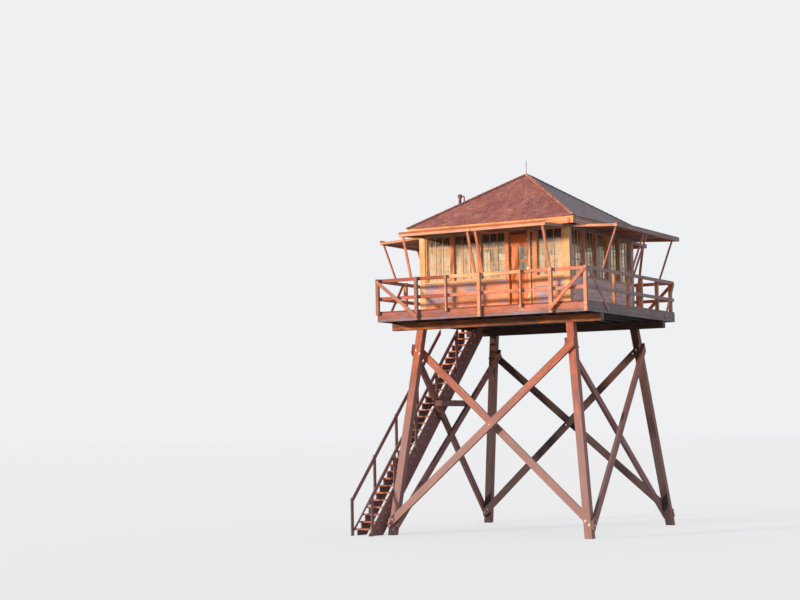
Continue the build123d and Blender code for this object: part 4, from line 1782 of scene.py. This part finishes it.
@dataclass(frozen=True)
class Slope:
    """A tilted plane that boards are laid on.

    Attributes:
        origin: Middle of the edge that the plane starts from.
        along: Unit vector along that edge.
        reach: Unit vector from that edge across the plane.
        normal: Unit vector away from its upper face.
    """

    origin: Vector
    along: Vector
    reach: Vector
    normal: Vector

    def strip(self, along: Span, reach: Span, rise: Span, grain: Grain, tint: Tint) -> Board:
        """Give a board that fills a box on the plane.

        Args:
            along: Where the box starts and ends along the edge.
            reach: Where it starts and ends across the plane.
            rise: Where it starts and ends above the plane.
            grain: Direction of the grain, along or out.
            tint: Colour that the finish is multiplied by.

        Returns:
            The board.
        """
        place = self.origin + self.along * (sum(along) / 2) + self.reach * (sum(reach) / 2)
        place += self.normal * (sum(rise) / 2)
        spans = (along[1] - along[0], reach[1] - reach[0], rise[1] - rise[0])
        if grain is Grain.ALONG:
            return Board(place, self.along, self.reach, spans, tint)
        return Board(place, self.reach, self.along, (spans[1], spans[0], spans[2]), tint)


@dataclass
class Shutters:
    """Shutters swung up over the windows, each of boards on a rim with a batten on its outer edge."""

    site: Site
    shop: Workshop
    inset: float = 0.0635
    gap: float = 0.02
    depth: float = 1.275
    edge: float = 0.065
    rim: float = 0.089
    sheet: float = 0.016
    board_drop: float = JOINT
    board_count: int = 8
    board_gap: float = 0.002
    hinge: float = 2.005
    tilt: float = 3.3
    clear: float = 0.0003
    # How much longer the right shutter of the right side is.
    long_extra: float = 0.3
    batten: Span = (0.03, 0.05)
    batten_inset: float = 0.006
    # Places of the cleats, as shares of the shutter's length.
    cleats: tuple[float, ...] = (-0.34, 0.0, 0.34)
    cleat: Span = (0.07, 0.02)
    outer_tone: Tint = (1.15, 1.42, 1.5)
    hinge_tone: Tint = (0.75, 1.25, 1.7)
    batten_tone: Tint = (0.72, 0.42, 0.34)
    board_tone: Tint = (0.62, 0.6, 0.6)
    cleat_tone: Tint = (0.6, 0.6, 0.6)
    # Most that the outer boards, the rim's ends, the boards and the cleats vary.
    spreads: tuple[float, float, float, float] = (0.05, 0.08, 0.12, 0.1)
    prop_ease: float = 0.004
    prop_tones: int = 5
    prop_spread: float = 0.12

    def leaf(self, side: Side, hand: int) -> list[Board]:
        """Build one shutter.

        Args:
            side: Side of the tower.
            hand: -1 for the left shutter, 1 for the right one, seen from outside.

        Returns:
            The boards.
        """
        site, depth, rim = self.site, self.depth, self.rim
        tilt = math.radians(self.tilt)
        length = site.cab - self.inset - self.gap / 2
        if side is Side.RIGHT and hand == 1:
            length += self.long_extra
        out = site.cab + self.edge * math.sin(tilt) + self.clear
        origin = site.at(side, hand * (length + self.gap) / 2, out, site.floor + self.hinge)
        slope = Slope(origin, side.along, side.out * math.cos(tilt) - UP * math.sin(tilt),
                      side.out * math.sin(tilt) + UP * math.cos(tilt))
        half = length / 2
        under, between = (-self.edge, 0.0), (rim, depth - rim)
        frame_spread, end_spread, board_spread, cleat_spread = self.spreads
        wide, high = self.batten
        outer = depth - self.batten_inset
        boards = [
            slope.strip((-half, half), (depth - rim, depth), under, Grain.ALONG,
                        site.tone(frame_spread, self.outer_tone)),
            slope.strip((-half, half), (0.0, rim), under, Grain.ALONG, self.hinge_tone),
            slope.strip((-half, rim - half), between, under, Grain.OUT, site.tone(end_spread)),
            slope.strip((half - rim, half), between, under, Grain.OUT, site.tone(end_spread)),
            slope.strip((-half, half), (outer - wide, outer), (0.0, high), Grain.ALONG,
                        site.tone(frame_spread, self.batten_tone)),
        ]
        for run in split_run(*between, self.board_count, self.board_gap):
            boards.append(slope.strip((rim - half, half - rim), run, (-self.sheet, -self.board_drop),
                                      Grain.ALONG, site.tone(board_spread, self.board_tone)))
        wide, thick = self.cleat
        for share in self.cleats:
            place = share * length
            boards.append(slope.strip((place - wide / 2, place + wide / 2), between,
                                      (-self.sheet - thick, -self.sheet), Grain.OUT,
                                      site.tone(cleat_spread, self.cleat_tone)))
        return boards

    def build(self) -> None:
        """Build the shutters of each side, and dress their props."""
        for side in Side:
            boards = self.leaf(side, -1) + self.leaf(side, 1)
            self.shop.join(f"shutters_{side.word}_boards", boards, Finishes.shutter, "shutter_boards",
                           replaced=(f"shutters_{side.word}",))
        tones = [self.site.tone(self.prop_spread) for _ in range(self.prop_tones)]
        self.shop.ease("shutter_props", "shutter_props_bars", Finishes.rail, "rail_timber",
                       self.prop_ease, tones)


@dataclass
class Roof:
    """Shingle courses, hip caps and fascia boards."""

    site: Site
    shop: Workshop
    edge: float = 0.03
    exposure: float = 0.14
    overlap: float = 0.05
    butt: float = 0.015
    butt_range: Span = (-0.002, 0.004)
    widths: Span = (0.09, 0.19)
    # How far a shingle lies up the slope from its course, at least and at most.
    slips: Span = (-0.008, 0.004)
    shingle_gap: float = 0.003
    # Width below which a shingle at a hip is left out.
    narrowest: float = 0.02
    hip_clear: float = 0.012
    eave_hang: float = 0.022
    shingle_spread: float = 0.17
    cap: tuple[float, float, float] = (0.21, 0.068, 0.014)
    cap_exposure: float = 0.145
    cap_rise: float = 0.012
    cap_lift: float = 0.008
    cap_spread: float = 0.2
    new_cap: Tint = (1.45, 1.5, 1.15)
    # Tint of the caps on the hip between front and left.
    old_cap: Tint = (0.85, 0.75, 0.8)
    fascia_inset: float = 0.025
    fascia: float = 0.025
    fascia_drop: float = 0.157
    fascia_lower: float = 0.05
    fascia_gap: float = 0.002
    fascia_step: float = 0.007
    fascia_spread: float = 0.04
    upper_tone: Tint = (0.95, 0.74, 0.64)
    lower_tone: Tint = (0.86, 0.72, 0.7)
    # Height and thickness of the strip under the shingles, and how far its ends run past.
    strip: tuple[float, float, float] = (0.024, 0.018, 0.012)
    strip_tone: Tint = (1.04, 1.14, 1.0)
    block: Span = (0.06, 0.016)
    block_place: float = 0.13
    block_ends: Span = (0.004, 0.036)
    block_spread: float = 0.05
    block_tone: Tint = (0.7, 0.36, 0.26)

    def slope(self, side: Side) -> tuple[Slope, float]:
        """Find the plane of a slope.

        Args:
            side: Side of the roof.

        Returns:
            The plane, from the slope's lower edge up, and its length.
        """
        foot = self.site.at(side, 0.0, self.site.roof, self.site.eave + self.edge)
        rise = self.site.axis + UP * self.site.apex - foot
        up = rise.normalized()
        return Slope(foot, side.along, up, side.along.cross(up)), rise.length

    def shingles(self, side: Side) -> list[Board]:
        """Lay the shingles of one slope, each course up to its hips.

        Args:
            side: Side of the roof.

        Returns:
            The shingles.
        """
        seed = self.site.seed
        slope, length = self.slope(side)
        boards = []
        for number in range(int(length / self.exposure)):
            hang = self.eave_hang if number == 0 else 0.0
            low = number * self.exposure - hang
            tall = self.exposure + self.overlap + hang
            half = self.site.roof * (1 - max(low, 0.0) / length) - self.hip_clear
            place = -half - seed.uniform(0.0, self.widths[0])
            while place < half:
                wide = seed.uniform(*self.widths)
                slip = seed.uniform(*self.slips)
                start, end = max(place, -half), min(place + wide - self.shingle_gap, half)
                if end - start > self.narrowest:
                    thick = self.butt + seed.uniform(*self.butt_range)
                    middle = slope.origin + side.along * ((start + end) / 2)
                    middle += slope.reach * (low + slip + tall / 2) + slope.normal * (thick / 2)
                    boards.append(Board(middle, slope.reach, -side.along, (tall, end - start, thick),
                                        self.site.tone(self.shingle_spread)))
                place += wide
        return boards

    def trim_to_hips(self, piece: bpy.types.Object, side: Side) -> None:
        """Pull in the points of a slope's shingles that lie past its hips.

        Args:
            piece: The shingles of the slope.
            side: Side of the roof.
        """
        slope, length = self.slope(side)
        for vertex in piece.data.vertices:
            away = vertex.co - slope.origin
            half = max(self.site.roof * (1 - max(away.dot(slope.reach), 0.0) / length), 0.0)
            past = abs(away.dot(side.along)) - half
            if past > 0:
                vertex.co -= side.along * math.copysign(past, away.dot(side.along))

    def hip_caps(self, side: Side) -> list[Board]:
        """Lay the caps along the two hips of a slope, on the slope's own side of each hip.

        Args:
            side: Side of the roof.

        Returns:
            The caps.
        """
        site = self.site
        slope, _ = self.slope(side)
        normal = slope.normal
        peak = site.axis + UP * site.apex
        long_size, wide_size, thick = self.cap
        boards = []
        for hand in (-1, 1):
            corner = slope.origin + side.along * hand * site.roof
            tint = self.old_cap if (side, hand) in ((Side.FRONT, -1), (Side.LEFT, 1)) else self.new_cap
            long = (peak - corner).normalized()
            wide = normal.cross(long)
            inward = wide if wide.dot(side.along) * hand < 0 else -wide
            lean = (long * long_size - normal * self.cap_rise).normalized()
            for number in range(int((peak - corner).length / self.cap_exposure)):
                start = number * self.cap_exposure
                middle = corner + long * (start + long_size / 2) + inward * (wide_size / 2 - self.cap_lift)
                middle += normal * (self.butt + thick / 2 + self.cap_lift)
                if (middle - peak).length < long_size / 2:
                    continue
                boards.append(Board(middle, lean, lean.cross(normal).normalized(), self.cap,
                                    site.tone(self.cap_spread, tint)))
        return boards

    def fascia_boards(self, side: Side) -> list[Board]:
        """Set the fascia of one side in two boards, with a strip under the shingles and two blocks.

        Args:
            side: Side of the roof.

        Returns:
            The boards.
        """
        site = self.site
        outer = site.roof - self.fascia_inset
        top = site.eave - site.floor
        low = top - self.fascia_drop
        split = low + self.fascia_lower
        reach = outer if side.laps else outer - self.fascia
        high, thick, past = self.strip
        boards = [
            site.board(side, (-reach, reach), (outer - self.fascia, outer), (split + self.fascia_gap, top),
                       Grain.ALONG, site.tone(self.fascia_spread, self.upper_tone)),
            site.board(side, (-reach, reach), (outer - self.fascia, outer - self.fascia_step), (low, split),
                       Grain.ALONG, site.tone(self.fascia_spread, self.lower_tone)),
            site.board(side, (-outer - past, outer + past), (outer + JOINT, outer + thick),
                       (top - high, top), Grain.ALONG, site.tone(self.fascia_spread, self.strip_tone)),
        ]
        wide, thick = self.block
        for hand in (-1, 1):
            place = hand * (outer - self.block_place)
            boards.append(site.board(side, (place - wide / 2, place + wide / 2), (outer, outer + thick),
                                     (low + self.block_ends[0], top - self.block_ends[1]), Grain.UP,
                                     site.tone(self.block_spread, self.block_tone)))
        return boards

    def build(self) -> None:
        """Cover each slope and dress its eave."""
        caps = []
        boards = []
        for side in Side:
            piece = self.shop.join(f"shingles_{side.word}", self.shingles(side), Finishes.shingle,
                                   "roof_shingles", Pattern.WEDGE)
            self.trim_to_hips(piece, side)
            caps += self.hip_caps(side)
            boards += self.fascia_boards(side)
        self.shop.join("hip_caps", caps, Finishes.shingle, "roof_shingles")
        self.shop.join("fascia_boards", boards, Finishes.trim, "painted_boards", replaced=("fascia",))


@dataclass
class Inside:
    """Floor and ceiling boards that show through the windows."""

    site: Site
    shop: Workshop
    # Node of each surface, width of its boards and gap between them.
    boards: tuple[tuple[str, float, float], ...] = (("cab_floor", 0.09, 0.001), ("ceiling", 0.14, 0.003))
    spread: float = 0.14
    ease: float = 0.002

    def build(self) -> None:
        """Lay the floor and the ceiling."""
        site = self.site
        for node, width, gap in self.boards:
            low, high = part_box(node)
            half = (high.x - low.x) / 2
            heights = (low.z - site.floor, high.z - site.floor)
            boards = [
                site.board(Side.BACK, (-half, half), run, heights, Grain.ALONG, site.tone(self.spread),
                           self.ease)
                for run in split_run(-half, half, round(2 * half / width), gap)
            ]
            self.shop.join(f"{node}_boards", boards, Finishes.inside, "inside_boards", replaced=(node,))


@dataclass
class Stair:
    """Treads, carriages, rails and bearer of the flight."""

    site: Site
    shop: Workshop
    edge: float = 0.005
    tread_tones: int = 7
    tread_spread: float = 0.14
    # Painted shade of the flight, which stands under the deck.
    dark_tone: Tint = (0.5, 0.42, 0.5)

    def dress(self) -> None:
        """Ease the edges of the flight's timbers and give them their grain."""
        tones = [self.site.tone(self.tread_spread) for _ in range(self.tread_tones)]
        self.shop.ease("stair_treads", "stair_tread_boards", Finishes.deck, "deck_boards", self.edge, tones)
        for node, name in (("stair_carriages", "stair_carriage_planks"), ("stair_rails", "stair_rail_bars"),
                           ("stair_bearer", "stair_bearer_timber")):
            self.shop.ease(node, name, Finishes.frame, "deck_boards", self.edge, [self.dark_tone])


@dataclass
class Hardware:
    """Bolts with washers, hinges and the door knob."""

    site: Site
    shop: Workshop
    rails: Railings
    # Width of a bolt's washer and height of its whole head.
    bolt: Span = (0.06, 0.022)
    rail_bolt: Span = (0.038, 0.012)
    from_end: Span = (0.13, 0.27)
    # Heights of the bolts at the feet of two front posts, from the deck.
    feet: Span = (-0.07, -0.19)
    knob: Span = (0.055, 0.05)
    knob_place: Span = (0.474, 0.98)
    hinge_heights: tuple[float, ...] = (0.25, 0.95, 1.7)
    hinge: tuple[float, float, float] = (0.04, 0.09, 0.004)
    hinge_ease: float = 0.001
    door_edge: float = 0.984
    door_front: float = 0.035

    def head(self, place: Vector, normal: Vector, size: Span) -> Board:
        """Give the space of a bolt head, from the middle of its back along its normal."""
        long = normal.orthogonal().normalized()
        return Board(place + normal * (size[1] / 2), long, normal.cross(long), (size[0], size[0], size[1]))

    def brace_heads(self, side: Side) -> list[Board]:
        """Set the bolt heads at the ends of a side's two braces, and where they cross.

        Args:
            side: Side of the tower.

        Returns:
            The heads.
        """
        heads = []
        lines = []
        for place, turn in (("outer", 1), ("inner", -1)):
            mesh = bpy.data.objects[f"brace_{side.word}_{place}"].data
            along = long_edge(mesh)
            face = broad_face(mesh, side.out * turn)
            normal = face.normal.copy()
            across = normal.cross(along)
            run = [vertex.co.dot(along) for vertex in mesh.vertices]
            spread = [vertex.co.dot(across) for vertex in mesh.vertices]
            centre = across * (min(spread) + max(spread)) / 2 + normal * face.center.dot(normal)
            for inset in self.from_end:
                for reach in (min(run) + inset, max(run) - inset):
                    heads.append(self.head(centre + along * reach, normal, self.bolt))
            lines.append((centre + along * min(run), centre + along * max(run), normal))
            if turn < 0:
                heads += self.through_heads(side, heads[-2 * len(self.from_end):])
        crossing = intersect_line_line(*lines[0][:2], *lines[1][:2])
        for point, line in zip(crossing, lines):
            heads.append(self.head(point, line[2], self.bolt))
        return heads

    def through_heads(self, side: Side, inner: list[Board]) -> list[Board]:
        """Set the heads on the outer face of each leg, of the bolts that hold the inner brace.

        Args:
            side: Side of the tower.
            inner: Heads on the inner brace.

        Returns:
            The heads on the legs.
        """
        legs = {name: sum(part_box(name), Vector()) / 2 for name in (
            f"leg_{end}_{hand}" for end in ("front", "back") for hand in ("left", "right"))}
        heads = []
        for head in inner:
            nearest = min(legs, key=lambda name: (legs[name] - head.middle).to_2d().length)
            face = broad_face(bpy.data.objects[nearest].data, side.out)
            normal = face.normal.copy()
            place = head.middle + normal * (face.center - head.middle).dot(normal)
            heads.append(self.head(place, normal, self.bolt))
        return heads

    def rail_heads(self, side: Side, hatch: Hatch) -> list[Board]:
        """Set the bolt heads of one side's railing.

        Args:
            side: Side of the tower.
            hatch: Edges of the stair hatch.

        Returns:
            The heads.
        """
        site, rails = self.site, self.rails
        heights = [height - rails.rail[0] / 2 for height in (rails.top, rails.middle)]
        corner = site.platform - rails.post / 2
        if side is Side.FRONT:
            face = site.platform + rails.post
            places = [share * site.platform for share in rails.tall + rails.short]
            spots = [(place, height) for place in places for height in heights]
            spots += [(place, height) for place in (rails.tall[1] * site.platform, corner)
                      for height in self.feet]
            spots += [(share * site.platform, -rails.short_drop / 2) for share in rails.short]
        else:
            face = site.platform
            spots = [(place, height) for place in rails.post_places(side, hatch) for height in heights
                     if abs(place) < corner - rails.post]
        places = [site.at(side, along, face, site.floor + height) for along, height in spots]
        for ends in rails.diagonal_ends(side, rails.diagonal[1]):
            places += ends
        return [self.head(place, side.out, self.rail_bolt) for place in places]

    def door_metal(self) -> list[Board]:
        """Make the knob and the hinges of the door.

        Returns:
            The knob, then the hinges.
        """
        site = self.site
        face = site.cab - self.door_front
        place, height = self.knob_place
        metal = [self.head(site.at(Side.FRONT, place, face, site.floor + height), Side.FRONT.out, self.knob)]
        wide, high, thick = self.hinge
        for height in self.hinge_heights:
            metal.append(site.board(Side.FRONT, (self.door_edge - wide, self.door_edge),
                                    (face, face + thick), (height - high / 2, height + high / 2),
                                    Grain.UP, PLAIN, self.hinge_ease))
        return metal

    def build(self, hatch: Hatch) -> None:
        """Set every piece of metal.

        Args:
            hatch: Edges of the stair hatch.
        """
        slot = "galvanised_metal"
        braces = [head for side in Side for head in self.brace_heads(side)]
        self.shop.join("brace_bolts", braces, Finishes.bolt, slot, Pattern.BOLT)
        rails = [head for side in Side for head in self.rail_heads(side, hatch)]
        self.shop.join("railing_bolts", rails, Finishes.bolt, slot, Pattern.BOLT)
        knob, *hinges = self.door_metal()
        self.shop.join("door_knob", [knob], Finishes.bolt, slot, Pattern.BOLT)
        self.shop.join("door_hinges", hinges, Finishes.bolt, slot)


def dress_plain_nodes(nodes: dict[str, bpy.types.Object]) -> None:
    """Finish the CAD nodes that show as they are.

    Args:
        nodes: The CAD nodes by name.
    """
    for name, node in nodes.items():
        if name.startswith("window_frame") or name == "corner_posts":
            paint(node, Finishes.trim.build(UP))
        elif name.startswith("lower_wall"):
            paint(node, Finishes.inside.build(EAST))
        elif name == "roof":
            paint(node, Finishes.trim.build(EAST))
        elif name == "window_glass":
            paint(node, Finishes.glass.build())
        elif name in ("stovepipe", "pipe_flashing", "lightning_rod"):
            paint(node, Finishes.pipe.build())


def main() -> None:
    """Build every part of the scene in order."""
    logging.basicConfig(level=logging.INFO)
    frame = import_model()
    deselect()
    site = Site.read()
    shop = Workshop()
    Camera(site).build()
    Studio().build()
    nodes = frame["nodes"]
    dress_plain_nodes(nodes)
    Tower(site, shop).dress(nodes)
    deck = Deck(site, shop)
    hatch = deck.find_hatch()
    deck.build()
    railings = Railings(site, shop)
    railings.build(hatch)
    cab = Cab(site, shop)
    cab.build()
    Door(site, shop, cab).build()
    Shutters(site, shop).build()
    Roof(site, shop).build()
    Inside(site, shop).build()
    Stair(site, shop).dress()
    Hardware(site, shop, railings).build(hatch)


if __name__ == "__main__":
    main()
